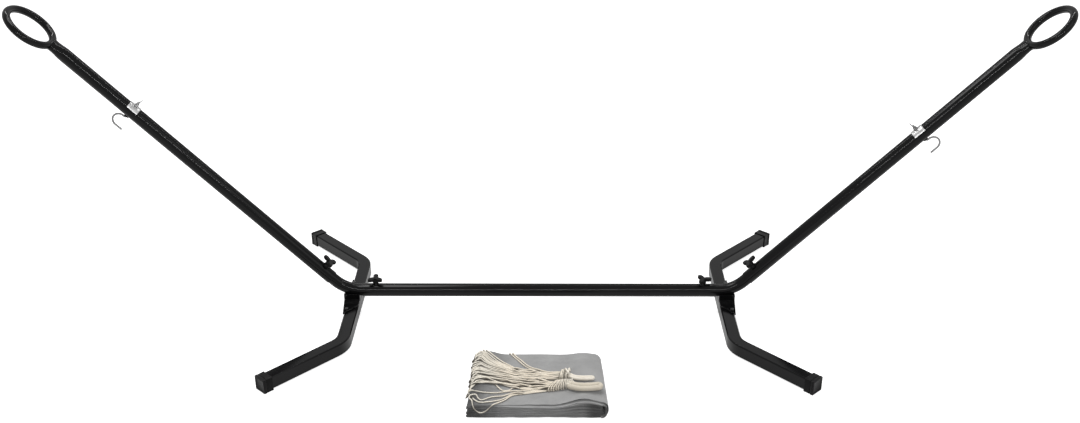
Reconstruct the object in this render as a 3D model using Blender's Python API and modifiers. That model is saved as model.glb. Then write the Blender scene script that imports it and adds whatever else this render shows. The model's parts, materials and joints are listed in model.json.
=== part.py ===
"""Hammock with a space-saving steel stand, and the hammock folded on the floor in front of it.

Metres, +Z up, +X to the right. The tubes slide over two bent elbows, and thumb screws clamp them.
"""
import math

import bmesh
import bpy
import numpy as np
from mathutils import Vector

# Clearance between pieces that touch or seat in each other
FIT = 0.0003

# Beam and arms, the outer tubes
TUBE_D = 0.038
TUBE_WALL = 0.0015
TUBE_SIDES = 20
SHARP_ANGLE = math.radians(35.0)
ROUNDED_ANGLE = math.radians(40.0)

# Elbows, whose ends go into the outer tubes
ELBOW_BEND_R = 0.105
ELBOW_WALL = 0.0015
ARM_ANGLE = math.radians(45.6)
BEAM_SHOULDER = 0.004
ARM_SHOULDER = 0.011
STUB_LENGTH = 0.075
ELBOW_STEPS = 7

# Base legs of square tube, bent outwards at both ends
LEG_SIDE = 0.036
LEG_WALL = 0.0015
LEG_CORNER_R = 0.003
LEG_BEND_R = 0.070
LEG_MID_HALF = 0.2275
LEG_RUN = 0.270
LEG_SPLAY = math.radians(43.5)
LEG_SPACING = 1.068
LEG_BEND_STEPS = 6

# Plastic caps on the ends of the legs
CAP_WALL = 0.0017
CAP_END = 0.0025
CAP_LENGTH = 0.028
CAP_ROUNDING = 0.0015

# Saddle bracket that carries an elbow on its leg
PLATE_THICKNESS = 0.004
PLATE_OVERHANG = 0.0015
CRADLE_OVERHANG = 0.0095
PLATE_INNER_HALF = 0.050
PLATE_OUTER_HALF = 0.100
SEAT_HEIGHT = 0.0037
CRADLE_WALL = 0.003
CRADLE_DEPTH = 0.012
ELBOW_OVER_LEG = 0.023

# Hexagon screws through the saddle bracket
SCREW_R = 0.003
SCREW_LENGTH = 0.014
SCREW_HEAD_R = 0.0055
SCREW_HEAD_HEIGHT = 0.0045
SCREW_Y = 0.076
SCREW_INSET = 0.0070

# Thumb screws
KNOB_SETBACK = 0.038
STUD_R = 0.004
BOSS_R = 0.008
BOSS_HEIGHT = 0.0055
STEM_GAP = 0.0015
HUB_R = 0.0085
HUB_HEIGHT = 0.005
KNOB_THICKNESS = 0.009
KNOB_LOBES = 3
KNOB_LOBE_STEPS = 8
KNOB_MEAN_R = 0.0150
KNOB_LOBE_R = 0.0085
KNOB_ROUNDING = 0.0016
STUD_IN_KNOB = 0.009
KNOB_TURN = {"left_arm": 44.5, "left_beam": 90.0, "right_arm": 15.5, "right_beam": 0.0}

# Arms, whose far ends are pressed flat and welded to the rings
RING_DISTANCE = 1.0974
RING_R = 0.065
RING_TUBE_D = 0.020
RING_TILT = math.radians(2.0)
RING_STEPS = 28
RING_TUBE_SIDES = 8
FLAT_LENGTH = 0.038
FLAT_HALF_HEIGHT = 0.0150
FLAT_HALF_WIDTH = 0.0215
FLAT_OVER_RING = 0.0055
FLAT_SHARES = (0.2, 0.4, 0.6, 0.8, 1.0)

# Hooks through the arms, each with a saddle washer, a wing nut and a lower bush
HOOK_PLACE = {"left": 0.770, "right": 0.678}
HOOK_WIRE_R = 0.00275
HOOK_R = 0.0180
HOOK_NECK_R = 0.0045
HOOK_SHIFT = 0.007
HOOK_TIP = 0.015
HOOK_STUD_TOP = 0.0145
HOOK_NECK_STEPS = 4
HOOK_STEPS = 10
WASHER_LENGTH = 0.033
WASHER_THICKNESS = 0.0015
WASHER_HALF_ANGLE = math.radians(62.0)
WASHER_STEPS = 12
BUSH_R = 0.007
BUSH_HEIGHT = 0.0025
NUT_BASE_R = 0.0062
NUT_TOP_R = 0.0048
NUT_HEIGHT = 0.008
NUT_SIDES = 16
WING_SPAN = 0.0135
WING_HEIGHT = 0.020
WING_THICKNESS = 0.0024
WING_TURN = {"left": math.radians(75.0), "right": math.radians(105.0)}

# One wing's edge, from its root to its tip and back, in shares of its span and of its height
WING_EDGE = ((0.40, 0.10), (0.72, 0.42), (1.0, 0.80), (0.92, 0.96), (0.74, 1.0), (0.52, 0.78), (0.26, 0.40))

# Folded cloth of the hammock
CLOTH_WIDTH = 0.362
CLOTH_DEPTH = 0.234
CLOTH_CENTRE_X = -0.003
CLOTH_FRONT = 0.534
CLOTH_PASSES = 6
PASS_PITCH = 0.0064
PASS_GAP = 0.0009
MOUTH_LENGTH = 0.036
BULGE_FRONT = 0.014
BULGE_BACK = 0.006
BULGE_FROM_RIGHT = 0.062
BULGE_LENGTH = 0.040
CLOTH_SLICES = 6
EDGE_THINNING = 0.22
BIG_TURN_STEPS = 8
SMALL_TURN_STEPS = 4

# Where the top pass has its stations, in shares of its straight length from the left end
TOP_SHARES = (0, 0.3, 0.5, 0.62, 0.72, 0.81, 0.9, 1)

# Cords of the two clews, laid on the cloth
CORD_D = 0.0035
CORD_PITCH = 0.0043
STRANDS = 14
NECK_ROWS = 3
STRAND_POINTS = 8
TURN_POINTS = 4
FAN_FROM_LEFT = 0.010
NECK_FROM_LEFT = 0.262
SPREAD_FROM = 0.12
SINK_WITHIN = 0.30
UNSTACK_FROM = 0.30
UNSTACK_OVER = 0.50
WHIP_CORD_D = 0.0025
WHIP_PITCH = 0.0033
TURN_STEPS = 24
CORD_LIFT = 0.0004
WHIP_SLACK = 0.01
LOOP_LIFT = 0.0011
EYE_DROP_FROM = 0.012
EYE_DROP_OVER = 0.030
EYE_LEG_STEPS = 8
EYE_TURN_STEPS = 6
CORD_ROUND_STEPS = 1
EYE_ROUND_STEPS = 2

# Where each clew lies: its fan's two ends and its neck, measured back from the front of the cloth
CLEWS = {
    "upper": {
        "fan": (0.226, 0.130),
        "neck": 0.108,
        "turns": 3,
        "eye_d": 0.007,
        "eye_reach": 0.060,
        "eye_turn": -0.05,
    },
    "lower": {
        "fan": (0.118, 0.016),
        "neck": 0.066,
        "turns": 5,
        "eye_d": 0.010,
        "eye_reach": 0.084,
        "eye_turn": 0.0,
    },
}

# Worked out from the sizes above
TUBE_R = TUBE_D / 2
TUBE_ROUND_STEPS = TUBE_SIDES // 2 - 2
ELBOW_R = TUBE_R - TUBE_WALL - FIT
TANGENT = ELBOW_BEND_R * math.tan(ARM_ANGLE / 2)
LEG_X = LEG_SPACING / 2
LEG_LIFT = CAP_WALL + FIT
LEG_TOP = LEG_LIFT + LEG_SIDE
PLATE_BOTTOM = LEG_TOP + FIT
PLATE_TOP = PLATE_BOTTOM + PLATE_THICKNESS
AXIS_Z = PLATE_TOP + SEAT_HEIGHT + FIT + ELBOW_R
ELBOW_X = LEG_X + ELBOW_OVER_LEG
BEAM_END = ELBOW_X - TANGENT - BEAM_SHOULDER
ARM_START = TANGENT + ARM_SHOULDER
BOSS_TOP = TUBE_R + BOSS_HEIGHT
HUB_BOTTOM = BOSS_TOP + STEM_GAP
HEAD_BOTTOM = HUB_BOTTOM + HUB_HEIGHT
HEAD_TOP = HEAD_BOTTOM + KNOB_THICKNESS
STUD_TIP = ELBOW_R + FIT
STUD_TOP = HUB_BOTTOM + STUD_IN_KNOB
NUT_SEAT = TUBE_R + FIT + WASHER_THICKNESS + FIT
CAP_SIDE = LEG_SIDE + 2 * (FIT + CAP_WALL)
RUN_DIRECTION = Vector((math.sin(LEG_SPLAY), math.cos(LEG_SPLAY), 0.0))
FOOT = Vector((LEG_X, LEG_MID_HALF, 0.0)) + RUN_DIRECTION * LEG_RUN
FOOT_REACH = FOOT.y + math.sin(LEG_SPLAY) * (CAP_SIDE / 2 - CAP_ROUNDING) + CAP_ROUNDING
CLOTH_HEIGHT = CLOTH_PASSES * PASS_PITCH
STAND_Y = (CLOTH_FRONT - FOOT_REACH) / 2
CLOTH_FRONT_Y = STAND_Y - CLOTH_FRONT
CLOTH_LEFT = CLOTH_CENTRE_X - CLOTH_WIDTH / 2
CLOTH_RIGHT = CLOTH_CENTRE_X + CLOTH_WIDTH / 2
TURN_R = PASS_PITCH * (CLOTH_PASSES - 1) / 2
TURN_X = CLOTH_RIGHT - PASS_PITCH / 2 - TURN_R
TOP_STATIONS = [CLOTH_LEFT + share * (TURN_X - CLOTH_LEFT) for share in TOP_SHARES]

SIDES = {"left": -1, "right": 1}


def new_collection(name):
    group = bpy.data.collections.new(name)
    bpy.context.scene.collection.children.link(group)
    return group


def finish(name, colour, roughness, metallic=0.0):
    material = bpy.data.materials.new(name)
    material.use_nodes = True
    shader = material.node_tree.nodes["Principled BSDF"]
    shader.inputs["Base Color"].default_value = (*colour, 1.0)
    shader.inputs["Roughness"].default_value = roughness
    shader.inputs["Metallic"].default_value = metallic
    material.diffuse_color = (*colour, 1.0)
    return material


def empty(name, parent=None, location=(0, 0, 0), rotation=(0, 0, 0)):
    frame = bpy.data.objects.new(name, None)
    frame.parent = parent
    frame.location = location
    frame.rotation_euler = rotation
    parts.objects.link(frame)
    return frame


def add(name, mesh, material, parent=None, location=(0, 0, 0), rotation=(0, 0, 0)):
    """A sub-part with this mesh, placed in its parent's frame."""
    mesh.name = name
    mesh.materials.clear()
    mesh.materials.append(material)
    mesh.shade_smooth()
    mesh.set_sharp_from_angle(angle=SHARP_ANGLE)
    piece = bpy.data.objects.new(name, mesh)
    piece.parent = parent
    piece.location = location
    piece.rotation_euler = rotation
    parts.objects.link(piece)
    return piece


def add_cutter(name, mesh, parent=None, location=(0, 0, 0), rotation=(0, 0, 0)):
    cutter = bpy.data.objects.new(name, mesh)
    cutter.parent = parent
    cutter.location = location
    cutter.rotation_euler = rotation
    cutter.hide_render = True
    cutter.display_type = "WIRE"
    cutters.objects.link(cutter)
    return cutter


def combine(target, other, operation="DIFFERENCE"):
    step = target.modifiers.new(operation.lower(), "BOOLEAN")
    step.operation = operation
    step.object = other
    step.solver = "EXACT"


def round_edges(piece, width, segments=2):
    step = piece.modifiers.new("edges", "BEVEL")
    step.width = width
    step.segments = segments
    step.limit_method = "ANGLE"
    step.angle_limit = ROUNDED_ANGLE


def give_wall(piece, wall):
    step = piece.modifiers.new("wall", "SOLIDIFY")
    step.thickness = wall
    step.offset = -1.0
    step.use_rim = True
    step.use_even_offset = True


def mesh_from(edit):
    mesh = bpy.data.meshes.new("shape")
    edit.to_mesh(mesh)
    edit.free()
    return mesh


def box(size, centre=(0, 0, 0)):
    edit = bmesh.new()
    bmesh.ops.create_cube(edit, size=1.0)
    bmesh.ops.scale(edit, vec=size, verts=edit.verts)
    bmesh.ops.translate(edit, vec=centre, verts=edit.verts)
    return mesh_from(edit)


def rod(radius, low, high, sides=16, top_radius=None, axis="Z"):
    """A closed round or many-sided rod from low to high along an axis."""
    edit = bmesh.new()
    top = radius if top_radius is None else top_radius
    bmesh.ops.create_cone(
        edit, cap_ends=True, segments=sides, radius1=radius, radius2=top, depth=high - low
    )
    bmesh.ops.translate(edit, vec=(0, 0, (low + high) / 2), verts=edit.verts)
    if axis == "X":
        turn = Vector((0, 0, 1)).rotation_difference(Vector((1, 0, 0))).to_matrix()
        bmesh.ops.rotate(edit, cent=(0, 0, 0), matrix=turn, verts=edit.verts)
    return mesh_from(edit)


def mesh_of(curve):
    """The curve's own surface as a welded mesh with its faces pointing out."""
    helper = bpy.data.objects.new("helper", curve)
    bpy.context.scene.collection.objects.link(helper)
    bpy.context.view_layer.update()
    seen = helper.evaluated_get(bpy.context.evaluated_depsgraph_get())
    mesh = bpy.data.meshes.new_from_object(seen)
    bpy.data.objects.remove(helper, do_unlink=True)
    edit = bmesh.new()
    edit.from_mesh(mesh)
    bmesh.ops.remove_doubles(edit, verts=edit.verts, dist=1e-6)
    bmesh.ops.recalc_face_normals(edit, faces=edit.faces)
    edit.to_mesh(mesh)
    edit.free()
    return mesh


def path_curve(points, closed=False, flat=False):
    curve = bpy.data.curves.new("path", "CURVE")
    curve.dimensions = "2D" if flat else "3D"
    line = curve.splines.new("POLY")
    line.points.add(len(points) - 1)
    for place, point in zip(line.points, points):
        place.co = (point[0], point[1], 0.0 if flat else point[2], 1.0)
    line.use_cyclic_u = closed
    return curve


def wire(points, radius, fineness=2, capped=True):
    """A round wire or tube along a path of points."""
    curve = path_curve(points)
    curve.bevel_depth = radius
    curve.bevel_resolution = fineness
    curve.use_fill_caps = capped
    return mesh_of(curve)


def plate(outline, thickness, rounding=0.0):
    """A flat outline given a thickness, centred on its own plane."""
    curve = path_curve(outline, closed=True, flat=True)
    curve.fill_mode = "BOTH"
    curve.extrude = thickness / 2 - rounding
    curve.bevel_depth = rounding
    curve.bevel_resolution = 1
    curve.offset = -rounding
    return mesh_of(curve)


def arc(centre, radius, start, end, steps):
    """Points on an arc between two angles, in the plane of its centre's two numbers."""
    angles = [start + (end - start) * k / steps for k in range(steps + 1)]
    return [(centre[0] + radius * math.cos(a), centre[1] + radius * math.sin(a)) for a in angles]


def eased(value):
    """0 below 0, 1 above 1, and a smooth step between them."""
    value = min(max(value, 0.0), 1.0)
    return value * value * (3 - 2 * value)


for old in list(bpy.data.objects):
    bpy.data.objects.remove(old, do_unlink=True)
parts = new_collection("hammock_with_stand")
cutters = new_collection("cutters")

black_paint = finish("black_paint", (0.012, 0.012, 0.013), 0.35)
black_plastic = finish("black_plastic", (0.015, 0.015, 0.016), 0.55)
black_steel = finish("black_steel", (0.030, 0.030, 0.032), 0.40, 0.6)
zinc = finish("zinc", (0.62, 0.63, 0.64), 0.28, 1.0)
grey_cloth = finish("grey_cloth", (0.330, 0.330, 0.325), 0.95)
cream_cord = finish("cream_cord", (0.800, 0.740, 0.640), 0.90)

stand = empty("stand_frame", location=(0, STAND_Y, 0))
arm_frames = {}
for side, sign in SIDES.items():
    arm_frames[side] = empty(
        f"{side}_arm_frame",
        stand,
        (sign * ELBOW_X, 0, AXIS_Z),
        (0, sign * (math.pi / 2 - ARM_ANGLE), 0),
    )


# Base legs

def leg_path(sign, cut):
    """The leg's centre line, from its rear end over two round bends to its front end."""
    turn_back = LEG_BEND_R * math.tan(LEG_SPLAY / 2)
    run_end = Vector((LEG_X, LEG_MID_HALF, 0)) + RUN_DIRECTION * (LEG_RUN - cut)
    half = [(run_end.x, run_end.y)]
    centre = (LEG_X + LEG_BEND_R, LEG_MID_HALF - turn_back)
    half += arc(centre, LEG_BEND_R, math.pi - LEG_SPLAY, math.pi, LEG_BEND_STEPS)
    half += [(x, -y) for x, y in reversed(half)]
    middle = LEG_LIFT + LEG_SIDE / 2
    return [(sign * x, y, middle) for x, y in half]


def rounded_square(side, corner):
    reach = side / 2 - corner
    outline = []
    for k, (x, y) in enumerate(((1, 1), (-1, 1), (-1, -1), (1, -1))):
        outline += arc((x * reach, y * reach), corner, k * math.pi / 2, (k + 1) * math.pi / 2, 1)
    return outline


def base_leg(side, sign):
    curve = path_curve(leg_path(sign, CAP_END + FIT))
    outline = path_curve(rounded_square(LEG_SIDE, LEG_CORNER_R), closed=True, flat=True)
    profile = bpy.data.objects.new("leg_profile", outline)
    cutters.objects.link(profile)
    curve.bevel_mode = "OBJECT"
    curve.bevel_object = profile
    mesh = mesh_of(curve)
    bpy.data.objects.remove(profile, do_unlink=True)
    leg = add(f"{side}_base_leg", mesh, black_paint, stand)
    give_wall(leg, LEG_WALL)
    return leg


def foot_cap(name, sign, front):
    """A square plastic cap, closed at its outer end, over the end of a leg."""
    turn = math.atan2(front * RUN_DIRECTION.y, sign * RUN_DIRECTION.x)
    at = (sign * FOOT.x, front * FOOT.y, CAP_SIDE / 2)
    block = box((CAP_LENGTH, CAP_SIDE, CAP_SIDE), (-CAP_LENGTH / 2, 0, 0))
    cap = add(name, block, black_plastic, stand, at, (0, 0, turn))
    round_edges(cap, CAP_ROUNDING)
    pocket = LEG_SIDE + 2 * FIT
    hollow = box((CAP_LENGTH, pocket, pocket), (-CAP_LENGTH / 2 - CAP_END, 0, 0))
    combine(cap, add_cutter(f"{name}_pocket", hollow, stand, at, (0, 0, turn)))


# Elbows and the saddle brackets that carry them

def elbow_path(sign, beam_stub, arm_stub):
    """The elbow's centre line, from inside the beam over the bend to inside the arm."""
    turned = arc((0, ELBOW_BEND_R), ELBOW_BEND_R, -math.pi / 2, ARM_ANGLE - math.pi / 2, ELBOW_STEPS)
    path = [(-beam_stub, 0.0)] + turned
    last = turned[-1]
    path.append((last[0] + arm_stub * math.cos(ARM_ANGLE), last[1] + arm_stub * math.sin(ARM_ANGLE)))
    start = ELBOW_X - TANGENT
    return [(sign * (start + x), 0.0, AXIS_Z + z) for x, z in path]


def elbow_tube(side, sign):
    path = elbow_path(sign, BEAM_SHOULDER + STUB_LENGTH, ARM_SHOULDER + STUB_LENGTH)
    mesh = wire(path, ELBOW_R, TUBE_ROUND_STEPS, capped=False)
    tube = add(f"{side}_elbow_tube", mesh, black_paint, stand)
    give_wall(tube, ELBOW_WALL)


def saddle_bracket(side, sign, leg):
    half_width = ELBOW_R + FIT + CRADLE_WALL
    inner = -LEG_SIDE / 2
    outer = LEG_SIDE / 2 + PLATE_OVERHANG
    bulge_out = LEG_SIDE / 2 + CRADLE_OVERHANG
    half = [(inner, PLATE_INNER_HALF), (outer, PLATE_OUTER_HALF), (bulge_out, half_width)]
    outline = [(sign * x, y) for x, y in half] + [(sign * x, -y) for x, y in reversed(half)]
    at = (sign * LEG_X, 0, PLATE_BOTTOM + PLATE_THICKNESS / 2)
    bracket = add(f"{side}_saddle_bracket", plate(outline, PLATE_THICKNESS), black_paint, stand, at)
    seat_top = SEAT_HEIGHT + CRADLE_DEPTH + PLATE_THICKNESS / 2
    size = (LEG_SIDE + CRADLE_OVERHANG, 2 * half_width, seat_top)
    block = box(size, (sign * CRADLE_OVERHANG / 2, 0, seat_top / 2))
    combine(bracket, add_cutter(f"{side}_cradle_block", block, stand, at), "UNION")
    room = wire(elbow_path(sign, STUB_LENGTH, STUB_LENGTH), ELBOW_R + FIT, TUBE_ROUND_STEPS)
    combine(bracket, add_cutter(f"{side}_elbow_room", room, stand))
    screw_x = sign * (LEG_X + outer - SCREW_INSET)
    for end, front in (("front", -1), ("rear", 1)):
        place = (screw_x, front * SCREW_Y, PLATE_TOP)
        room = rod(SCREW_R + FIT, -SCREW_LENGTH, SCREW_HEAD_HEIGHT)
        hole = add_cutter(f"{side}_{end}_screw_hole", room, stand, place)
        combine(bracket, hole)
        combine(leg, hole)
        add(f"{side}_{end}_bracket_screw", hex_screw(), black_steel, stand, place)


def hex_screw():
    """A hexagon head on a round shank, turned as one piece."""
    edit = bmesh.new()
    edit.from_mesh(rod(SCREW_HEAD_R, FIT, FIT + SCREW_HEAD_HEIGHT, 6))
    under = min(edit.faces, key=lambda face: face.calc_center_median().z)
    bmesh.ops.inset_individual(edit, faces=[under], thickness=SCREW_HEAD_R - SCREW_R)
    moved = bmesh.ops.extrude_discrete_faces(edit, faces=[under])["faces"]
    bmesh.ops.translate(edit, vec=(0, 0, -SCREW_LENGTH - FIT), verts=moved[0].verts)
    return mesh_from(edit)


# Thumb screws

def knob_outline():
    """A round-lobed star, as a formula of the angle."""
    points = []
    steps = KNOB_LOBE_STEPS * KNOB_LOBES
    for k in range(steps):
        angle = 2 * math.pi * k / steps
        radius = KNOB_MEAN_R + KNOB_LOBE_R * math.cos(KNOB_LOBES * angle)
        points.append((radius * math.cos(angle), radius * math.sin(angle)))
    return points


def thumb_screw(name, tube, parent, at, rotation):
    """A threaded boss on the tube, a stud through it and a lobed knob on the stud.

    Their shared local Z axis points out of the tube, and starts on the tube's own axis."""
    round_boss = rod(BOSS_R, TUBE_R - BOSS_HEIGHT, BOSS_TOP)
    boss = add(f"{name}_boss", round_boss, black_paint, parent, at, rotation)
    room = rod(TUBE_R + FIT, -2 * BOSS_R, 2 * BOSS_R, TUBE_SIDES, axis="X")
    combine(boss, add_cutter(f"{name}_tube_room", room, parent, at, rotation))
    through = rod(STUD_R + FIT, ELBOW_R - TUBE_WALL, HEAD_TOP)
    hole = add_cutter(f"{name}_hole", through, parent, at, rotation)
    combine(boss, hole)
    combine(tube, hole)
    add(f"{name}_stud", rod(STUD_R, STUD_TIP, STUD_TOP), zinc, parent, at, rotation)
    middle = (HEAD_BOTTOM + HEAD_TOP) / 2
    frame = empty(f"{name}_knob_frame", parent, at, rotation)
    spin = (0, 0, math.radians(KNOB_TURN[name]))
    star = plate(knob_outline(), KNOB_THICKNESS, KNOB_ROUNDING)
    head = add(f"{name}_knob", star, black_plastic, frame, (0, 0, middle), spin)
    hub = rod(HUB_R, HUB_BOTTOM, middle)
    combine(head, add_cutter(f"{name}_hub", hub, parent, at, rotation), "UNION")
    bore = rod(STUD_R + FIT, HUB_BOTTOM - FIT, STUD_TOP + FIT)
    combine(head, add_cutter(f"{name}_bore", bore, parent, at, rotation))


# Arms with their end rings and hooks

def arm_loft():
    """The arm's outer skin: round along most of its length, pressed flat towards the ring."""
    weld = RING_DISTANCE - RING_R
    end = weld - RING_TUBE_D / 2 + FLAT_OVER_RING
    flat_from = end - FLAT_LENGTH
    stations = [(ARM_START, 0.0), (flat_from, 0.0)]
    for share in FLAT_SHARES:
        stations.append((flat_from + share * (FLAT_LENGTH - RING_TUBE_D / 2), eased(share)))
    stations.append((end, 1.0))
    edit = bmesh.new()
    rings = []
    for place, flat in stations:
        high = TUBE_R + (FLAT_HALF_HEIGHT - TUBE_R) * flat
        wide = TUBE_R + (FLAT_HALF_WIDTH - TUBE_R) * flat
        ring = []
        for k in range(TUBE_SIDES):
            angle = 2 * math.pi * k / TUBE_SIDES
            ring.append(edit.verts.new((high * math.cos(angle), wide * math.sin(angle), place)))
        rings.append(ring)
    for low, top in zip(rings, rings[1:]):
        for k in range(TUBE_SIDES):
            after = (k + 1) % TUBE_SIDES
            edit.faces.new((low[k], low[after], top[after], top[k]))
    return mesh_from(edit)


def ring_mesh(tube_radius):
    bpy.ops.mesh.primitive_torus_add(
        major_segments=RING_STEPS,
        minor_segments=RING_TUBE_SIDES,
        major_radius=RING_R,
        minor_radius=tube_radius,
    )
    helper = bpy.context.object
    mesh = helper.data
    bpy.data.objects.remove(helper, do_unlink=True)
    return mesh


def arm_with_ring(side, sign):
    frame = arm_frames[side]
    arm = add(f"{side}_arm_tube", arm_loft(), black_paint, frame)
    give_wall(arm, TUBE_WALL)
    weld = RING_DISTANCE - RING_R
    lean = sign * RING_TILT
    at = (RING_R * math.sin(lean), 0, weld + RING_R * math.cos(lean))
    turned = (0, math.pi / 2 + lean, 0)
    add(f"{side}_end_ring", ring_mesh(RING_TUBE_D / 2), black_paint, frame, at, turned)
    combine(arm, add_cutter(f"{side}_ring_room", ring_mesh(RING_TUBE_D / 2 + FIT), frame, at, turned))
    return arm


def hook_path():
    """The hook's wire as pairs: distance along the arm, and height over the arm's axis."""
    below = -(TUBE_R + FIT + BUSH_HEIGHT + FIT)
    points = [(0.0, NUT_SEAT + HOOK_STUD_TOP)]
    points += arc((HOOK_NECK_R, below), HOOK_NECK_R, math.pi, 1.5 * math.pi, HOOK_NECK_STEPS)
    bend = (HOOK_SHIFT, below - HOOK_NECK_R - HOOK_R)
    points += arc(bend, HOOK_R, math.pi / 2, -math.pi / 2, HOOK_STEPS)
    points.append((-HOOK_TIP, points[-1][1]))
    return points


def hook_set(side, sign, arm):
    """A J-shaped hook through the arm, clamped by a wing nut on a curved washer."""
    frame = arm_frames[side]
    place = HOOK_PLACE[side]
    at = (0, 0, place)
    out = (0, -sign * math.pi / 2, 0)
    wire_points = [(-sign * high, 0.0, along) for along, high in hook_path()]
    add(f"{side}_j_hook", wire(wire_points, HOOK_WIRE_R), zinc, frame, at)
    through = rod(HOOK_WIRE_R + FIT, -2 * TUBE_R, 2 * TUBE_R)
    hole = add_cutter(f"{side}_hook_hole", through, frame, at, out)
    combine(arm, hole)
    inner = TUBE_R + FIT
    outer = inner + WASHER_THICKNESS
    up = math.pi if sign > 0 else 0.0
    first, last = up - WASHER_HALF_ANGLE, up + WASHER_HALF_ANGLE
    outline = arc((0, 0), outer, first, last, WASHER_STEPS)
    outline += arc((0, 0), inner, last, first, WASHER_STEPS)
    washer = add(f"{side}_hook_washer", plate(outline, WASHER_LENGTH), zinc, frame, at)
    combine(washer, hole)
    round_bush = rod(BUSH_R, -TUBE_R - FIT - BUSH_HEIGHT, -TUBE_R / 2)
    bush = add(f"{side}_hook_bush", round_bush, black_plastic, frame, at, out)
    room = rod(TUBE_R + FIT, -2 * BUSH_R, 2 * BUSH_R, TUBE_SIDES, axis="X")
    combine(bush, add_cutter(f"{side}_bush_room", room, frame, at, out))
    combine(bush, hole)
    wing_nut(side, frame, at, out)


def wing_nut(side, frame, at, out):
    """A tapered body with two upright wings."""
    turned = empty(f"{side}_nut_frame", frame, at, out)
    spin = (0, 0, WING_TURN[side])
    body = rod(NUT_BASE_R, NUT_SEAT, NUT_SEAT + NUT_HEIGHT, NUT_SIDES, NUT_TOP_R)
    nut = add(f"{side}_wing_nut", body, zinc, turned, (0, 0, 0), spin)
    outline = [(x * WING_SPAN, y * WING_HEIGHT) for x, y in WING_EDGE]
    outline += [(-x, y) for x, y in reversed(outline)]
    wings = plate(outline, WING_THICKNESS, WING_THICKNESS / 4)
    upright = (math.pi / 2, 0, WING_TURN[side])
    combine(nut, add_cutter(f"{side}_wings", wings, turned, (0, 0, NUT_SEAT), upright), "UNION")
    bore = rod(HOOK_WIRE_R + FIT, 0, 2 * NUT_SEAT + WING_HEIGHT)
    combine(nut, add_cutter(f"{side}_nut_bore", bore, turned))


# Folded cloth

def bulge(x, back):
    """How far the top pass stands up near the right end; back runs from 0 at the front to 1."""
    height = BULGE_FRONT + (BULGE_BACK - BULGE_FRONT) * back
    away = (x - (CLOTH_RIGHT - BULGE_FROM_RIGHT)) / BULGE_LENGTH
    return height * math.exp(-away * away)


def cloth_top(x, from_front):
    """The height of the cloth's upper face, straight between the stations of its top pass."""
    back = from_front / CLOTH_DEPTH
    heights = [bulge(at, back) for at in TOP_STATIONS]
    return CLOTH_HEIGHT - PASS_GAP / 2 + np.interp(x, TOP_STATIONS, heights)


def lying(x, from_front, reach):
    """The height of a cord's middle line that lies on the cloth, from its radius with its clearance."""
    sides = [reach * k / 4 for k in range(-3, 4)]
    return max(cloth_top(x + d, from_front) + math.sqrt(reach * reach - d * d) for d in sides)


def cloth_path(back):
    """The middle line of the folded strip: over the top, round the right end, and to and fro inside."""
    level = [PASS_PITCH * (k + 0.5) for k in range(CLOTH_PASSES)]
    half = PASS_PITCH / 2
    left = CLOTH_LEFT + half
    path = [(x, level[-1] + bulge(x, back)) for x in TOP_STATIONS]
    lift = path[-1][1] - level[-1]
    turn = arc((TURN_X, level[0] + TURN_R), TURN_R, math.pi / 2, -math.pi / 2, BIG_TURN_STEPS)
    for x, z in turn[1:]:
        path.append((x, z + lift * eased((z - level[0]) / (2 * TURN_R))))
    inner_right = CLOTH_RIGHT - MOUTH_LENGTH
    ends = {"left": left + half, "right": inner_right - half}
    for k in range(CLOTH_PASSES - 2):
        side = "left" if k % 2 == 0 else "right"
        way = 1 if side == "right" else -1
        middle = (ends[side], (level[k] + level[k + 1]) / 2)
        start = -math.pi / 2
        path += arc(middle, half, start, start + way * math.pi, SMALL_TURN_STEPS)
    path.append((CLOTH_LEFT, level[CLOTH_PASSES - 2]))
    return path


def strip_outline(path, half):
    """The path given a thickness: out along one side and back along the other."""
    line = np.array(path)
    step = np.gradient(line, axis=0)
    step /= np.linalg.norm(step, axis=1)[:, None]
    normal = np.stack([-step[:, 1], step[:, 0]], axis=1)
    out = line + half * normal
    back = line - half * normal
    return np.concatenate([out, back[::-1]])


def folded_cloth():
    edit = bmesh.new()
    rings = []
    full = (PASS_PITCH - PASS_GAP) / 2
    for j in range(CLOTH_SLICES + 1):
        back = j / CLOTH_SLICES
        thin = EDGE_THINNING if j in (0, CLOTH_SLICES) else 0.0
        ring = []
        for x, z in strip_outline(cloth_path(back), full * (1 - thin)):
            ring.append(edit.verts.new((x, CLOTH_FRONT_Y + back * CLOTH_DEPTH, max(z, 0.0))))
        rings.append(ring)
    count = len(rings[0])
    for near, far in zip(rings, rings[1:]):
        for k in range(count):
            after = (k + 1) % count
            edit.faces.new((near[k], near[after], far[after], far[k]))
    for ring in (rings[0], rings[-1]):
        for k in range(count // 2 - 1):
            edit.faces.new((ring[k], ring[k + 1], ring[count - 2 - k], ring[count - 1 - k]))
    bmesh.ops.recalc_face_normals(edit, faces=edit.faces)
    add("hammock_cloth", mesh_from(edit), grey_cloth)


# Clews: the cords at the hammock's ends, each gathered to a neck and an end loop

def neck_slot(strand):
    """The strand's column and row where the cords are gathered, in a snake through the columns."""
    column, row = divmod(strand, NECK_ROWS)
    if column % 2:
        row = NECK_ROWS - 1 - row
    return column, row


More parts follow.
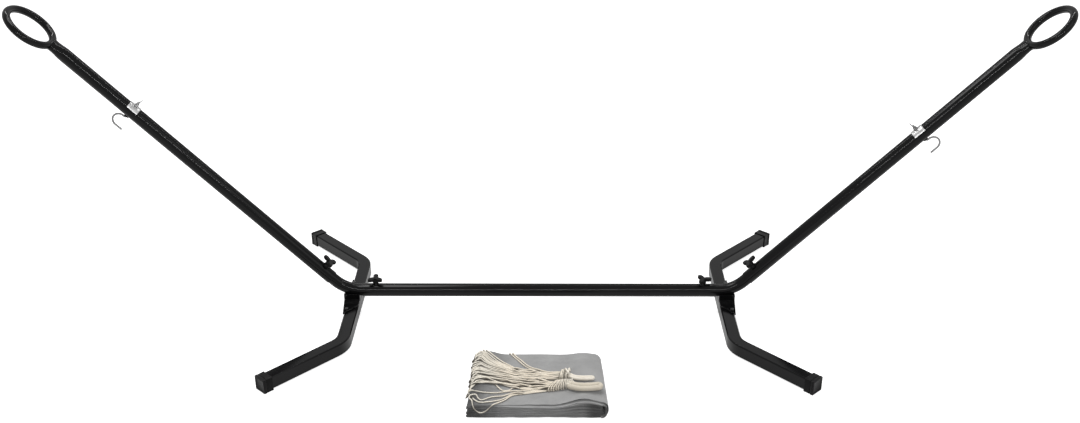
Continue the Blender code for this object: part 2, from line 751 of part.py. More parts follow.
def strand_points(clew, strand):
    """One strand from the neck to the fan's edge, as points over the cloth."""
    columns = math.ceil(STRANDS / NECK_ROWS)
    column, row = neck_slot(strand)
    share = strand / (STRANDS - 1)
    fan = clew["fan"][0] + (clew["fan"][1] - clew["fan"][0]) * share
    neck = clew["neck"] + ((columns - 1) / 2 - column) * CORD_PITCH
    start, end = CLOTH_LEFT + NECK_FROM_LEFT, CLOTH_LEFT + FAN_FROM_LEFT
    points = []
    for k in range(STRAND_POINTS):
        along = k / (STRAND_POINTS - 1)
        x = start + (end - start) * along
        spread = eased((along - SPREAD_FROM) / (1 - SPREAD_FROM))
        from_front = neck + (fan - neck) * spread
        stacked = 1 - eased((along - UNSTACK_FROM) / UNSTACK_OVER)
        lift = clew["lift"] * (1 - eased(along / SINK_WITHIN)) + row * CORD_PITCH * stacked
        z = lying(x, from_front, CORD_D / 2 + CORD_LIFT) + lift
        points.append(np.array((x, CLOTH_FRONT_Y + from_front, z)))
    return points


def half_turn(a, b, outward):
    """Points of a half circle from a to b that bulges along outward."""
    middle, reach = (a + b) / 2, (a - b) / 2
    size = np.linalg.norm(reach)
    points = []
    for k in range(1, TURN_POINTS + 1):
        angle = math.pi * k / (TURN_POINTS + 1)
        points.append(middle + reach * math.cos(angle) + outward * size * math.sin(angle))
    return points


def clew_path(clew):
    path = []
    for strand in range(STRANDS):
        points = strand_points(clew, strand)
        if strand % 2:
            points = points[::-1]
        if path:
            outward = np.array((-1.0, 0, 0)) if strand % 2 else np.array((1.0, 0, 0))
            path += half_turn(path[-1], points[0], outward)
        path += points
    return np.array(path)


def least_gap(path, diameter, skip):
    """The least gap of a wound cord to itself, leaving out the nearest stretch of it."""
    fine = []
    for a, b in zip(path, path[1:]):
        fine += [a + (b - a) * k / 4 for k in range(4)]
    fine = np.array(fine)
    run = np.concatenate([[0.0], np.cumsum(np.linalg.norm(np.diff(fine, axis=0), axis=1))])
    least = 1.0
    for k in range(len(fine)):
        far = np.abs(run - run[k]) > skip
        if far.any():
            least = min(least, np.linalg.norm(fine[far] - fine[k], axis=1).min())
    return least - diameter


def whip_sizes():
    """Half the width and half the height of the winding's middle line round the neck."""
    columns = math.ceil(STRANDS / NECK_ROWS)
    across = (columns - 1) / 2 * CORD_PITCH + CORD_D / 2
    high = (NECK_ROWS - 1) / 2 * CORD_PITCH + CORD_D / 2
    grow = math.sqrt(2) + WHIP_SLACK
    room = CORD_LIFT + WHIP_CORD_D / 2
    return across * grow + room, high * grow + room


def clews():
    wide, high = whip_sizes()
    for name, clew in CLEWS.items():
        clew["lift"] = high + WHIP_CORD_D / 2 - (NECK_ROWS - 1) / 2 * CORD_PITCH - CORD_D / 2
        path = clew_path(clew)
        print(f"{name} clew: least gap to itself {least_gap(path, CORD_D, 3 * CORD_D) * 1000:.2f} mm")
        add(f"{name}_clew_cord", wire(path, CORD_D / 2, CORD_ROUND_STEPS), cream_cord)
        winding(name, clew, wide, high)
        end_loop(name, clew)


def neck_centre(clew, x):
    z = lying(x, clew["neck"], CORD_D / 2 + CORD_LIFT) + clew["lift"]
    return np.array((x, CLOTH_FRONT_Y + clew["neck"], z + (NECK_ROWS - 1) / 2 * CORD_PITCH))


def winding(name, clew, wide, high):
    """The thin cord wound round the neck, one unbroken coil."""
    start = CLOTH_LEFT + NECK_FROM_LEFT - clew["turns"] * WHIP_PITCH / 2
    points = []
    for k in range(clew["turns"] * TURN_STEPS + 1):
        turn = k / TURN_STEPS
        angle = 2 * math.pi * turn
        centre = neck_centre(clew, start + turn * WHIP_PITCH)
        points.append(centre + np.array((0, wide * math.cos(angle), high * math.sin(angle))))
    gap = least_gap(np.array(points), WHIP_CORD_D, 4 * WHIP_CORD_D)
    print(f"{name} winding: least gap to itself {gap * 1000:.2f} mm")
    add(f"{name}_clew_whipping", wire(points, WHIP_CORD_D / 2, CORD_ROUND_STEPS), cream_cord)


def end_loop(name, clew):
    """The thick loop that goes over a hook, laid down with its two legs side by side."""
    radius = clew["eye_d"] / 2
    apart = radius + CORD_LIFT
    start = CLOTH_LEFT + NECK_FROM_LEFT + CORD_PITCH / 2 + CORD_D / 2 + FIT
    origin = neck_centre(clew, start)
    reach = clew["eye_reach"] - apart - radius
    leg = [reach * k / EYE_LEG_STEPS for k in range(EYE_LEG_STEPS)]
    flat = [(along, apart) for along in leg]
    flat += arc((reach, 0), apart, math.pi / 2, -math.pi / 2, EYE_TURN_STEPS)
    flat += [(along, -apart) for along in reversed(leg)]
    points = []
    for along, aside in flat:
        swing = clew["eye_turn"] * eased(along / reach) * along
        x, from_front = start + along, clew["neck"] + aside + swing
        rest = lying(x, from_front, radius + LOOP_LIFT)
        down = eased((along - EYE_DROP_FROM) / EYE_DROP_OVER)
        points.append((x, CLOTH_FRONT_Y + from_front, origin[2] + (rest - origin[2]) * down))
    add(f"{name}_end_loop", wire(points, radius, EYE_ROUND_STEPS), cream_cord)


beam_line = [(-BEAM_END, 0, AXIS_Z), (BEAM_END, 0, AXIS_Z)]
beam_tube = wire(beam_line, TUBE_R, TUBE_ROUND_STEPS, capped=False)
beam = add("centre_beam", beam_tube, black_paint, stand)
give_wall(beam, TUBE_WALL)
for side, sign in SIDES.items():
    leg = base_leg(side, sign)
    foot_cap(f"{side}_front_foot_cap", sign, -1)
    foot_cap(f"{side}_rear_foot_cap", sign, 1)
    elbow_tube(side, sign)
    saddle_bracket(side, sign, leg)
    arm = arm_with_ring(side, sign)
    along = ARM_START + KNOB_SETBACK
    thumb_screw(f"{side}_arm", arm, arm_frames[side], (0, 0, along), (0, -sign * math.pi / 2, 0))
    beam_place = (sign * (BEAM_END - KNOB_SETBACK), 0, AXIS_Z)
    thumb_screw(f"{side}_beam", beam, stand, beam_place, (0, 0, 0))
    hook_set(side, sign, arm)
folded_cloth()
clews()
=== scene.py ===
"""The finish of a hammock with its steel stand: paint, plastic, zinc, folded canvas and cotton cord."""
import json
import math

import bmesh
import bpy
import numpy as np
from mathutils import Matrix, Vector


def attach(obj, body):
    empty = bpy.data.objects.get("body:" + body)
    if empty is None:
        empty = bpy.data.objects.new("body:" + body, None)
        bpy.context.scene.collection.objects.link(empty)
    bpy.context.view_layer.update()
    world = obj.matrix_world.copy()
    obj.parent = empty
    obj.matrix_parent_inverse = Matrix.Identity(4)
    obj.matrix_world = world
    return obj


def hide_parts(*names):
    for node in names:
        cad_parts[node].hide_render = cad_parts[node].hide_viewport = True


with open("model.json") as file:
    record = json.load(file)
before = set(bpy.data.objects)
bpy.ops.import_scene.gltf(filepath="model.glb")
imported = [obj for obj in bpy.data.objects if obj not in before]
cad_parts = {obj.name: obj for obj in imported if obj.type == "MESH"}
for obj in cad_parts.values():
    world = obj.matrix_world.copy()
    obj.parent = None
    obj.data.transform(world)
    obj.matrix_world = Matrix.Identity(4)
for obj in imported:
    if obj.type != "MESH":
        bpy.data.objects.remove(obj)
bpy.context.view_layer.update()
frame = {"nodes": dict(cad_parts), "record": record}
SIDES = {"left": -1, "right": 1}


def scene_object(name, data):
    made = bpy.data.objects.new(name, data)
    bpy.context.scene.collection.objects.link(made)
    return made


# Camera

STAND_Y = 0.048207
CAMERA_PLACE = (0.0025, -3.0, 1.7617)
YAW = math.radians(0.4209)
TILT = math.radians(90 - 25.7552)
ROLL = math.radians(-0.1102)
SENSOR = 36.0
FOCAL_PIXELS, PICTURE_PIXELS = 1192.99, 1080


def place_camera():
    camera = scene_object("camera", bpy.data.cameras.new("camera"))
    camera.data.sensor_fit = "HORIZONTAL"
    camera.data.sensor_width = SENSOR
    camera.data.lens = SENSOR * FOCAL_PIXELS / PICTURE_PIXELS
    turn = Matrix.Rotation(YAW, 4, "Z")
    place = turn @ Vector(CAMERA_PLACE) + Vector((0, STAND_Y, 0))
    aim = turn @ Matrix.Rotation(TILT, 4, "X") @ Matrix.Rotation(ROLL, 4, "Z")
    camera.matrix_world = Matrix.Translation(place) @ aim
    bpy.context.scene.camera = camera


place_camera()


# Node helpers

class Nodes:
    """Short ways to add nodes to a material or a group."""

    def __init__(self, tree):
        self.tree = tree

    def add(self, kind, **values):
        node = self.tree.nodes.new(f"ShaderNode{kind}")
        for name, value in values.items():
            setattr(node, name, value)
        return node

    def feed(self, socket, value):
        if isinstance(value, bpy.types.NodeSocket):
            self.tree.links.new(value, socket)
        elif value is not None:
            socket.default_value = value

    def give(self, node, **values):
        """Feeds the inputs that are named, with _ for a space, and returns the node's outputs."""
        for label, value in values.items():
            self.feed(node.inputs[label.replace("_", " ")], value)
        return node.outputs

    def place(self):
        return self.add("TexCoord").outputs["Object"]

    def split(self, vector):
        return self.give(self.add("SeparateXYZ"), Vector=vector)

    def attribute(self, name):
        return self.add("Attribute", attribute_name=name).outputs["Fac"]

    def math(self, operation, a, b=None):
        node = self.add("Math", operation=operation)
        for socket, value in zip(node.inputs, (a, b)):
            self.feed(socket, value)
        return node.outputs[0]

    def times(self, a, b):
        return self.math("MULTIPLY", a, b)

    def noise(self, place, scale, detail, roughness=0.5):
        node = self.add("TexNoise")
        return self.give(node, Vector=place, Scale=scale, Detail=detail, Roughness=roughness)["Fac"]

    def ramp(self, value, low, high, low_out=0.0, high_out=1.0):
        node = self.add("MapRange", interpolation_type="SMOOTHSTEP")
        for socket, number in zip(node.inputs[:5], (value, low, high, low_out, high_out)):
            self.feed(socket, number)
        return node.outputs[0]

    def mix(self, share, a, b):
        node = self.add("Mix", data_type="RGBA")
        for index, value in ((0, share), (6, a), (7, b)):
            self.feed(node.inputs[index], value)
        return node.outputs[2]

    def bump(self, height, strength, distance, normal=None):
        node = self.add("Bump")
        return self.give(node, Height=height, Strength=strength, Distance=distance, Normal=normal)[0]

    def seen(self):
        """1 for rays from the camera and from glossy faces."""
        rays = self.add("LightPath").outputs
        return self.math("MAXIMUM", rays["Is Camera Ray"], rays["Is Glossy Ray"]), rays


def grey(level):
    return (level, level, level, 1.0)


def new_material(name):
    material = bpy.data.materials.new(name)
    material.use_nodes = True
    return material, Nodes(material.node_tree), material.node_tree.nodes["Principled BSDF"]


def new_group(name, vectors, numbers, results):
    """A shader group with named sockets: its node helper, what it is given and its output node."""
    group = bpy.data.node_groups.new(name, "ShaderNodeTree")
    sockets = [(label, "INPUT", "NodeSocketVector") for label in vectors]
    sockets += [(label, "INPUT", "NodeSocketFloat") for label in numbers]
    sockets += [(label, "OUTPUT", "NodeSocketFloat") for label in results]
    for label, way, kind in sockets:
        group.interface.new_socket(label, in_out=way, socket_type=kind)
    return Nodes(group), group.nodes.new("NodeGroupInput").outputs, group.nodes.new("NodeGroupOutput")


def uneven_skin():
    """Slow clouds, a fine grain and a few specks, which every finish of the stand has."""
    made, given, out = new_group("uneven_skin", ("Place",), SKIN_SCALES, ("Cloud", "Grain", "Specks"))
    place, start = given["Place"], given["Speck Start"]
    specks = made.noise(place, given["Speck Scale"], 4.0, 0.7)
    made.give(
        out,
        Cloud=made.noise(place, given["Cloud Scale"], 3.0),
        Grain=made.noise(place, given["Grain Scale"], 2.0),
        Specks=made.ramp(specks, start, made.math("ADD", start, 0.16)),
    )
    return out.id_data


def cotton_fibres():
    """The soft cloudy tone and short fibres of spun cotton, along a thread's own length."""
    made, given, out = new_group(
        "cotton_fibres", ("Place", "Threads"), ("Cloud Scale", "Fibre Scale"), ("Cloud", "Fibres")
    )
    made.give(
        out,
        Cloud=made.noise(given["Place"], given["Cloud Scale"], 3.0),
        Fibres=made.noise(given["Threads"], given["Fibre Scale"], 4.0, 0.7),
    )
    return out.id_data


SKIN_SCALES = ("Cloud Scale", "Grain Scale", "Speck Scale", "Speck Start")
SKIN = uneven_skin()
FIBRES = cotton_fibres()


# Materials

WEAVE_PITCH = 0.0014
RIB_PITCH = 0.0024
SHADOW_BROWN = (0.04, 0.032, 0.022, 1)


def stand_finish(name, scales, tones, specks, roughness, bump, rough_by="Cloud", **more):
    """Clouds between two tones, a few specks in a third and a grain that the light catches."""
    material, made, shader = new_material(name)
    skin = made.give(made.add("Group", node_tree=SKIN), Place=made.place(), **dict(zip(SKIN_SCALES, scales)))
    share, speck_tone = specks
    base = made.mix(skin["Cloud"], *tones)
    made.give(
        shader,
        Base_Color=made.mix(made.times(skin["Specks"], share), base, speck_tone),
        Roughness=made.ramp(skin[rough_by], 0.3, 0.7, *roughness),
        Normal=made.bump(skin["Grain"], *bump),
        **more,
    )
    return material, made, shader


def black_paint():
    """Semi-gloss black powder coat with a fine orange peel."""
    material, made, shader = stand_finish(
        "black_paint", (9.0, 750.0, 260.0, 0.66), ((0.0022, 0.0022, 0.0024, 1), (0.0042, 0.0042, 0.0045, 1)),
        specks=(0.12, grey(0.05)), roughness=(0.09, 0.14), bump=(0.03, 0.0001),
    )
    facing = made.add("LayerWeight").outputs["Facing"]
    made.give(shader, Specular_IOR_Level=made.ramp(facing, 0.45, 0.85, 0.11, 0.01))
    return material


def black_plastic():
    """Moulded black plastic with a fine grain."""
    return stand_finish(
        "black_plastic", (30.0, 1300.0, 340.0, 0.64), (grey(0.0028), (0.0055, 0.0055, 0.0057, 1)),
        specks=(0.15, grey(0.06)), roughness=(0.38, 0.52), bump=(0.22, 0.0003), rough_by="Grain",
        Specular_IOR_Level=0.07,
    )[0]


def zinc(name, low, high, roughness):
    """Zinc plating with a cloudy, spangled and slightly scratched face."""
    return stand_finish(
        name, (120.0, 700.0, 420.0, 0.5), (grey(low), grey(high)), specks=(0.45, grey(low * 0.6)),
        roughness=(roughness, roughness + 0.15), bump=(0.15, 0.0003), Metallic=0.85,
    )[0]


def soft_material(name, uv_map, cloud, fibre, threads_by_uv):
    """A material of spun cotton, with its fibres, the two ways of its own UV layer and its place."""
    material, made, shader = new_material(name)
    uv = made.add("UVMap", uv_map=uv_map).outputs["UV"]
    place = made.place()
    soft = made.give(
        made.add("Group", node_tree=FIBRES), Place=place, Threads=uv if threads_by_uv else place,
        Cloud_Scale=cloud, Fibre_Scale=fibre,
    )
    made.give(shader, Specular_IOR_Level=0.2)
    return material, made, shader, soft, made.split(uv)[:2], place


def canvas():
    """Grey cotton canvas: a plain weave on the cloth's own threads, darkened by its mark of painted shade."""
    material, made, shader, soft, ways, _ = soft_material("grey_canvas", "threads", 14.0, 90.0, True)
    warp, weft = (made.math("SINE", made.times(way, 2 * math.pi / WEAVE_PITCH)) for way in ways)
    weave = made.times(warp, weft)
    base = made.mix(soft["Cloud"], (0.228, 0.228, 0.226, 1), (0.338, 0.338, 0.336, 1))
    marl = made.times(made.ramp(soft["Fibres"], 0.35, 0.75), 0.35)
    tone = made.mix(marl, base, (0.205, 0.205, 0.202, 1))
    woven = made.mix(made.ramp(weave, -1.0, 1.0, 0.0, 0.25), tone, grey(0.39))
    made.give(
        shader,
        # The canvas goes towards near black with painted shade in its folds, its mouth and under the cord
        # loops, and with faint blotches of tone.
        Base_Color=made.mix(made.attribute("shade_and_blotch"), woven, grey(0.012)),
        Roughness=0.92,
        Sheen_Weight=0.25,
        Sheen_Roughness=0.5,
        Normal=made.bump(weave, 0.25, 0.0004, made.bump(soft["Fibres"], 0.3, 0.0012)),
    )
    return material


def cotton(name, pattern, light, groove):
    """Natural cotton cord, with painted shade between its strands or ribs and where it lies deep in the heap.
    """
    material, made, shader, soft, (along, around), place = soft_material(name, "lay", 38.0, 1100.0, False)
    if pattern == "strands":
        lobes = made.math("COSINE", made.times(around, 3 * math.pi))
    else:
        rib = made.math("ADD", made.math("DIVIDE", along, RIB_PITCH), around)
        lobes = made.math("SINE", made.times(rib, math.pi))
    crest = made.math("ABSOLUTE", lobes)
    run = made.times(along, 5200.0)
    yarn = made.math("SINE", made.math("ADD", run, made.times(around, 60.0)))
    base = made.mix(soft["Cloud"], [0.8 * light[0], 0.77 * light[1], 0.7 * light[2], 1], (*light, 1))
    x = made.split(place)[0]
    tan = made.times(made.ramp(x, -0.155, -0.06), made.ramp(x, 0.03, 0.09, 1, 0))
    base = made.mix(made.times(tan, 0.5), base, (0.86, 0.74, 0.58, 1))
    fluff = made.mix(made.ramp(soft["Fibres"], 0.35, 0.75, 0.0, 0.3), base, (0.9, 0.87, 0.8, 1))
    # The groove colour is painted shade between the strands or ribs.
    laid = made.mix(made.ramp(crest, 0.0, 0.55), (*groove, 1), fluff)
    made.give(
        shader,
        # Painted shade where the cord lies deep in the heap.
        Base_Color=made.mix(made.attribute("deep"), laid, SHADOW_BROWN),
        Roughness=0.88,
        Sheen_Weight=0.2,
        Normal=made.bump(yarn, 0.3, 0.0002, made.bump(soft["Fibres"], 0.3, 0.0003)),
    )
    return material


PAINT = black_paint()
PLASTIC = black_plastic()
# Bright zinc is also the painted light of the left wing nut, dull zinc the painted shade of the right one.
BRIGHT_AND_LIT_ZINC = zinc("bright_and_lit_zinc", 0.24, 0.44, 0.27)
DULL_AND_SHADED_ZINC = zinc("dull_and_shaded_zinc", 0.13, 0.25, 0.3)
DARK_STEEL = zinc("dark_steel", 0.02, 0.05, 0.35)
CANVAS = canvas()
# The last colour of each cord is the painted shade of its grooves.
COTTON = cotton("cotton_rope", "strands", (0.9, 0.87, 0.8), (0.55, 0.48, 0.38))
SERVED = {
    "upper": cotton("white_served_cotton", "ribs", (0.84, 0.8, 0.73), (0.62, 0.56, 0.46)),
    "lower": cotton("served_cotton", "ribs", (0.64, 0.59, 0.5), (0.44, 0.39, 0.31)),
}
# The two wing nuts are one zinc part: the left one takes the bright zinc as painted light, the right one the
# dull zinc as painted shade.
FINISHES = (
    (("hook_washer", "arm_stud", "beam_stud", "left_wing_nut"), BRIGHT_AND_LIT_ZINC),
    (("j_hook", "wing_nut"), DULL_AND_SHADED_ZINC),
    (("knob", "foot_cap", "hook_bush"), PLASTIC),
    (("bracket_screw",), DARK_STEEL),
    (("",), PAINT),
)


def dress(piece, material):
    piece.data.materials.clear()
    piece.data.materials.append(material)
    return piece


def belong(piece, body, node):
    """Ties a piece to its body, and hides the CAD node that it stands for, if any."""
    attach(piece, body)
    if node:
        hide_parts(node)


def round_edges(piece, width, angle):
    edges = piece.modifiers.new("edges", "BEVEL")
    edges.limit_method = "ANGLE"
    edges.angle_limit = math.radians(angle)
    edges.width = width
    edges.segments = 2


def soften_cad(piece):
    """Rounds the hard edges of a CAD node for the eye; its own points stay where they are."""
    piece.data.polygons.foreach_set("use_smooth", [True] * len(piece.data.polygons))
    piece.modifiers.new("weld", "WELD").merge_threshold = 2e-5
    round_edges(piece, 0.0006, 35)
    piece.modifiers.new("even", "WEIGHTED_NORMAL").weight = 90


for name, piece in frame["nodes"].items():
    dress(piece, next(material for endings, material in FINISHES if name.endswith(endings)))
    soften_cad(piece)


# Fittings that are made afresh: end rings, foot caps and hooks, and the welds of rings and bosses

BODIES = {node: body for body, members in frame["record"]["behaviour"]["bodies"].items() for node in members}
TUBE_R = 0.019
AXIS_Z = 0.0635
ARM_FOOT_X = 0.557
ARM_BOSS_AT = 0.093138
BEAM_BOSS_X = 0.470862
BOSS_WELD_R = 0.0084
RING_DISTANCE = 1.0974
RING_R = 0.065
RING_TUBE_R = 0.01
FLAT_HIGH, FLAT_WIDE = 0.015, 0.0215
CAP_SIDE = 0.04
CAP_LENGTH = 0.028
CAP_MOUTH_DEPTH = 0.0025
LEG_END = (0.719856, 0.423351)
LEG_WAY = (0.68835, 0.72537)
HOOK_ALONG = {"left": 0.77, "right": 0.678}
HOOK_WIRE_R = 0.00275
HOOK_TOP = 0.0211 + 0.0145
HOOK_BELOW = -0.0221
THREAD_RINGS = 34
THREAD_STEP = 0.0005
THREAD_END = 0.0006
ARM_FRAMES = {
    side: Matrix.Translation((sign * ARM_FOOT_X, STAND_Y, AXIS_Z))
    @ Matrix.Rotation(sign * math.radians(44.4), 4, "Y")
    for side, sign in SIDES.items()
}


def begin(operator, **values):
    """A new primitive by itself, opened for editing with all its faces chosen."""
    bpy.ops.object.select_all(action="DESELECT")
    operator(**values)
    piece = bpy.context.object
    bpy.ops.object.mode_set(mode="EDIT")
    bpy.ops.mesh.select_mode(type="FACE")
    return piece


def choose(piece, test):
    """Selects the faces whose middle and direction pass the test."""
    bpy.ops.mesh.select_all(action="DESELECT")
    edit = bmesh.from_edit_mesh(piece.data)
    for face in edit.faces:
        if test(face.calc_center_median(), face.normal):
            face.select_set(True)
    bmesh.update_edit_mesh(piece.data)


def extrude(x=0.0, y=0.0, z=0.0):
    bpy.ops.mesh.extrude_region_move(TRANSFORM_OT_translate={"value": (x, y, z)})


def reshape(piece, move):
    """Moves each point of a piece that is open for editing."""
    edit = bmesh.from_edit_mesh(piece.data)
    for vertex in edit.verts:
        move(vertex)
    bmesh.update_edit_mesh(piece.data)


def swell(piece, radius, share, lift):
    """Thickens a ring by a share that goes by the turn round it, and lifts it on to its seat."""
    def move(vertex):
        turn = math.atan2(vertex.co.y, vertex.co.x)
        middle = Vector((math.cos(turn) * radius, math.sin(turn) * radius, 0))
        vertex.co = middle + (vertex.co - middle) * (1 + share(turn))
        vertex.co.z += lift(middle)

    reshape(piece, move)


def finish(piece, name, place, material, node, bevel=0.0, angle=35, hides=True):
    """Puts a modelled piece in its place on the node's body, with its edges rounded and shaded."""
    bpy.ops.mesh.select_all(action="SELECT")
    bpy.ops.mesh.remove_doubles(threshold=1e-6)
    bpy.ops.mesh.normals_make_consistent(inside=False)
    bpy.ops.object.mode_set(mode="OBJECT")
    piece.name = name
    if bevel:
        round_edges(piece, bevel, angle)
        bpy.ops.object.modifier_apply(modifier="edges")
    bpy.ops.object.shade_smooth_by_angle(angle=math.radians(angle))
    piece.data.transform(place @ piece.matrix_world)
    piece.matrix_world = Matrix.Identity(4)
    piece.data.update()
    dress(piece, material)
    belong(piece, BODIES[node], node if hides else None)


def end_ring(side, sign):
    """The welded ring of round bar, with a faint seam."""
    piece = begin(
        bpy.ops.mesh.primitive_torus_add, major_segments=120, minor_segments=28,
        major_radius=RING_R, minor_radius=RING_TUBE_R,
    )
    swell(
        piece, RING_R, share=lambda turn: 0.035 * math.exp(-((turn * RING_R - 0.05) / 0.0016) ** 2),
        lift=lambda middle: 0.0,
    )
    lean = sign * math.radians(2.0)
    at = (RING_R * math.sin(lean), 0, RING_DISTANCE - RING_R + RING_R * math.cos(lean))
    place = ARM_FRAMES[side] @ Matrix.Translation(at) @ Matrix.Rotation(math.pi / 2 + lean, 4, "Y")
    finish(piece, f"{side}_ring", place, PAINT, f"{side}_end_ring", angle=60)


def ring_weld(side):
    """The rippled weld that shuts the pressed end of the arm against the ring."""
    start = RING_DISTANCE - RING_R - RING_TUBE_R
    piece = begin(bpy.ops.mesh.primitive_circle_add, vertices=72, radius=1.0, fill_type="NGON")
    stations = [
        (0.95, 0.003, 0.0), (1.0, 0.005, 0.0), (1.045, 0.0062, 0.15), (1.055, 0.0074, 0.35),
        (1.0, 0.0086, 0.6), (0.88, 0.0094, 0.8), (0.74, 0.01, 1.0), (0.6, 0.0104, 1.0),
    ]
    previous = 0.0
    for _, rise, _ in stations:
        extrude(z=rise - previous)
        previous = rise
    heights = sorted({round(v.co.z, 6) for v in bmesh.from_edit_mesh(piece.data).verts})

    def move(vertex):
        level = heights.index(round(vertex.co.z, 6))
        share, rise, bend = stations[max(level - 1, 0)]
        turn = math.atan2(vertex.co.y, vertex.co.x)
        ripple = 1 + 0.022 * math.sin(24 * turn) * math.exp(-((level - 4) / 1.6) ** 2)
        x = FLAT_HIGH * share * ripple * math.cos(turn)
        y = FLAT_WIDE * share * ripple * math.sin(turn)
        vertex.co = (x, y, start + rise + y * y / (2 * RING_R) * bend)

    reshape(piece, move)
    finish(
        piece, f"{side}_ring_weld", ARM_FRAMES[side], PAINT, f"{side}_arm_tube", angle=70,
        hides=False,
    )


def foot_cap(node, sign, front):
    """A moulded cap: a thick end block, a groove, a plain skirt and a lip, hollow for the leg."""
    piece = begin(bpy.ops.mesh.primitive_cube_add, size=1.0)
    bpy.ops.transform.resize(value=(CAP_LENGTH, CAP_SIDE, CAP_SIDE))
    bpy.ops.transform.translate(value=(-CAP_LENGTH / 2, 0, 0))
    sizes = {-0.0086: 1.0, -0.009: 0.95, -0.0102: 0.95, -0.0106: 0.982, -0.024: 0.982, -0.0244: 1.0}
    for cut in sizes:
        bpy.ops.mesh.select_all(action="SELECT")
        bpy.ops.mesh.bisect(plane_co=(cut, 0, 0), plane_no=(1, 0, 0))

    def move(vertex):
        for cut, size in sizes.items():
            if abs(vertex.co.x - cut) < 1e-5:
                vertex.co.y *= size
                vertex.co.z *= size

    reshape(piece, move)
    choose(piece, lambda middle, way: way.x < -0.9 and middle.x < -0.027)
    bpy.ops.mesh.inset(thickness=0.0017)
    extrude(x=CAP_LENGTH - CAP_MOUTH_DEPTH)
    choose(piece, lambda middle, way: way.x > 0.9 and middle.x > -0.001)
    bpy.ops.mesh.inset(thickness=0.0045)
    extrude(x=-0.0008)
    turn = math.atan2(front * LEG_WAY[1], sign * LEG_WAY[0])
    at = (sign * LEG_END[0], STAND_Y + front * LEG_END[1], CAP_SIDE / 2)
    place = Matrix.Translation(at) @ Matrix.Rotation(turn, 4, "Z")
    finish(piece, f"{node}_moulded", place, PLASTIC, node, bevel=0.0008, angle=30)


def j_hook(side, sign):
    """A bent wire hook: threaded top, straight shank, tight neck and round J with a rounded tip."""
    piece = begin(
        bpy.ops.mesh.primitive_circle_add, vertices=20, radius=HOOK_WIRE_R * 0.8, fill_type="NGON",
        location=(0, 0, HOOK_TOP),
    )
    for k in range(THREAD_RINGS):
        extrude(z=-THREAD_STEP)
        size = 1 / 0.84 if k % 2 == 0 else 0.84
        bpy.ops.transform.resize(value=(size, size, 1))
    extrude(z=-THREAD_END)
    bpy.ops.transform.resize(value=(1 / 0.8, 1 / 0.8, 1))
    extrude(z=HOOK_BELOW - (HOOK_TOP - (THREAD_RINGS * THREAD_STEP + THREAD_END)))
    bpy.ops.mesh.spin(steps=8, angle=math.pi / 2, center=(0.0045, 0, HOOK_BELOW), axis=(0, 1, 0))
    extrude(x=0.0025)
    bpy.ops.mesh.spin(steps=26, angle=-math.pi, center=(0.007, 0, HOOK_BELOW - 0.0225), axis=(0, 1, 0))
    extrude(x=-0.02)
    for size, step in ((0.93, 0.0009), (0.78, 0.0006), (0.5, 0.0004)):
        extrude(x=-step)
        bpy.ops.transform.resize(value=(1, size, size))
    turned = Matrix(((0, 0, -sign, 0), (0, sign, 0, 0), (1, 0, 0, 0), (0, 0, 0, 1)))
    place = ARM_FRAMES[side] @ Matrix.Translation((0, 0, HOOK_ALONG[side])) @ turned
    finish(piece, f"{side}_bent_hook", place, DULL_AND_SHADED_ZINC, f"{side}_j_hook", angle=32)


def boss_weld(boss, place):
    """The small rippled bead where a threaded boss sits on its tube."""
    piece = begin(
        bpy.ops.mesh.primitive_torus_add, major_segments=72, minor_segments=10,
        major_radius=BOSS_WELD_R, minor_radius=0.0014,
    )
    swell(
        piece, BOSS_WELD_R, share=lambda turn: 0.18 * math.sin(18 * turn),
        lift=lambda middle: math.sqrt(TUBE_R ** 2 - middle.y ** 2),
    )
    finish(piece, f"{boss}_weld", place, PAINT, boss, angle=70, hides=False)


for side, sign in SIDES.items():
    end_ring(side, sign)
    ring_weld(side)
    j_hook(side, sign)
    foot_cap(f"{side}_front_foot_cap", sign, -1)
    foot_cap(f"{side}_rear_foot_cap", sign, 1)
    out = Matrix.Rotation(-sign * math.pi / 2, 4, "Y")
    boss_weld(f"{side}_arm_boss", ARM_FRAMES[side] @ Matrix.Translation((0, 0, ARM_BOSS_AT)) @ out)
    boss_weld(f"{side}_beam_boss", Matrix.Translation((sign * BEAM_BOSS_X, STAND_Y, AXIS_Z)))


# Hammock: places are given as (from its left edge, back from its front, height)

CLOTH_LEFT = -0.184
CLOTH_FRONT_Y = -0.485793
CLOTH_WIDTH = 0.362
CLOTH_DEPTH = 0.234
PASSES = 6
PASS_PITCH = 0.0064
PASS_GAP = 0.0009
TOP = PASSES * PASS_PITCH - PASS_GAP / 2
ORIGIN = np.array((CLOTH_LEFT, CLOTH_FRONT_Y, 0.0))


def eased(value, start=0.0, over=1.0):
    """A smooth rise from 0 to 1 that begins at the start."""
    value = np.clip((value - start) / over, 0.0, 1.0)
    return value * value * (3 - 2 * value)


def fade(distance, over):
    return np.exp(-np.clip(distance, 0, 1) / over)


def crown(u, v):
    """How far the top stands up: a crest near the right end and a heap at the back left."""
    back = np.clip(v / CLOTH_DEPTH, 0, 1)
    away = u - 0.302 - 0.022 * back
    away = away / np.where(away > 0, 0.046, 0.042)
    heap = ((u - 0.042) / 0.036) ** 2 + ((v - 0.226) / 0.036) ** 2
    return (0.0175 - 0.0105 * back) * np.exp(-away * away) + 0.0115 * np.exp(-heap)


def left_edge(v):
    """How far the pile's left end is drawn in towards the back."""
    return 0.015 * (1 - fade(v, 0.07))


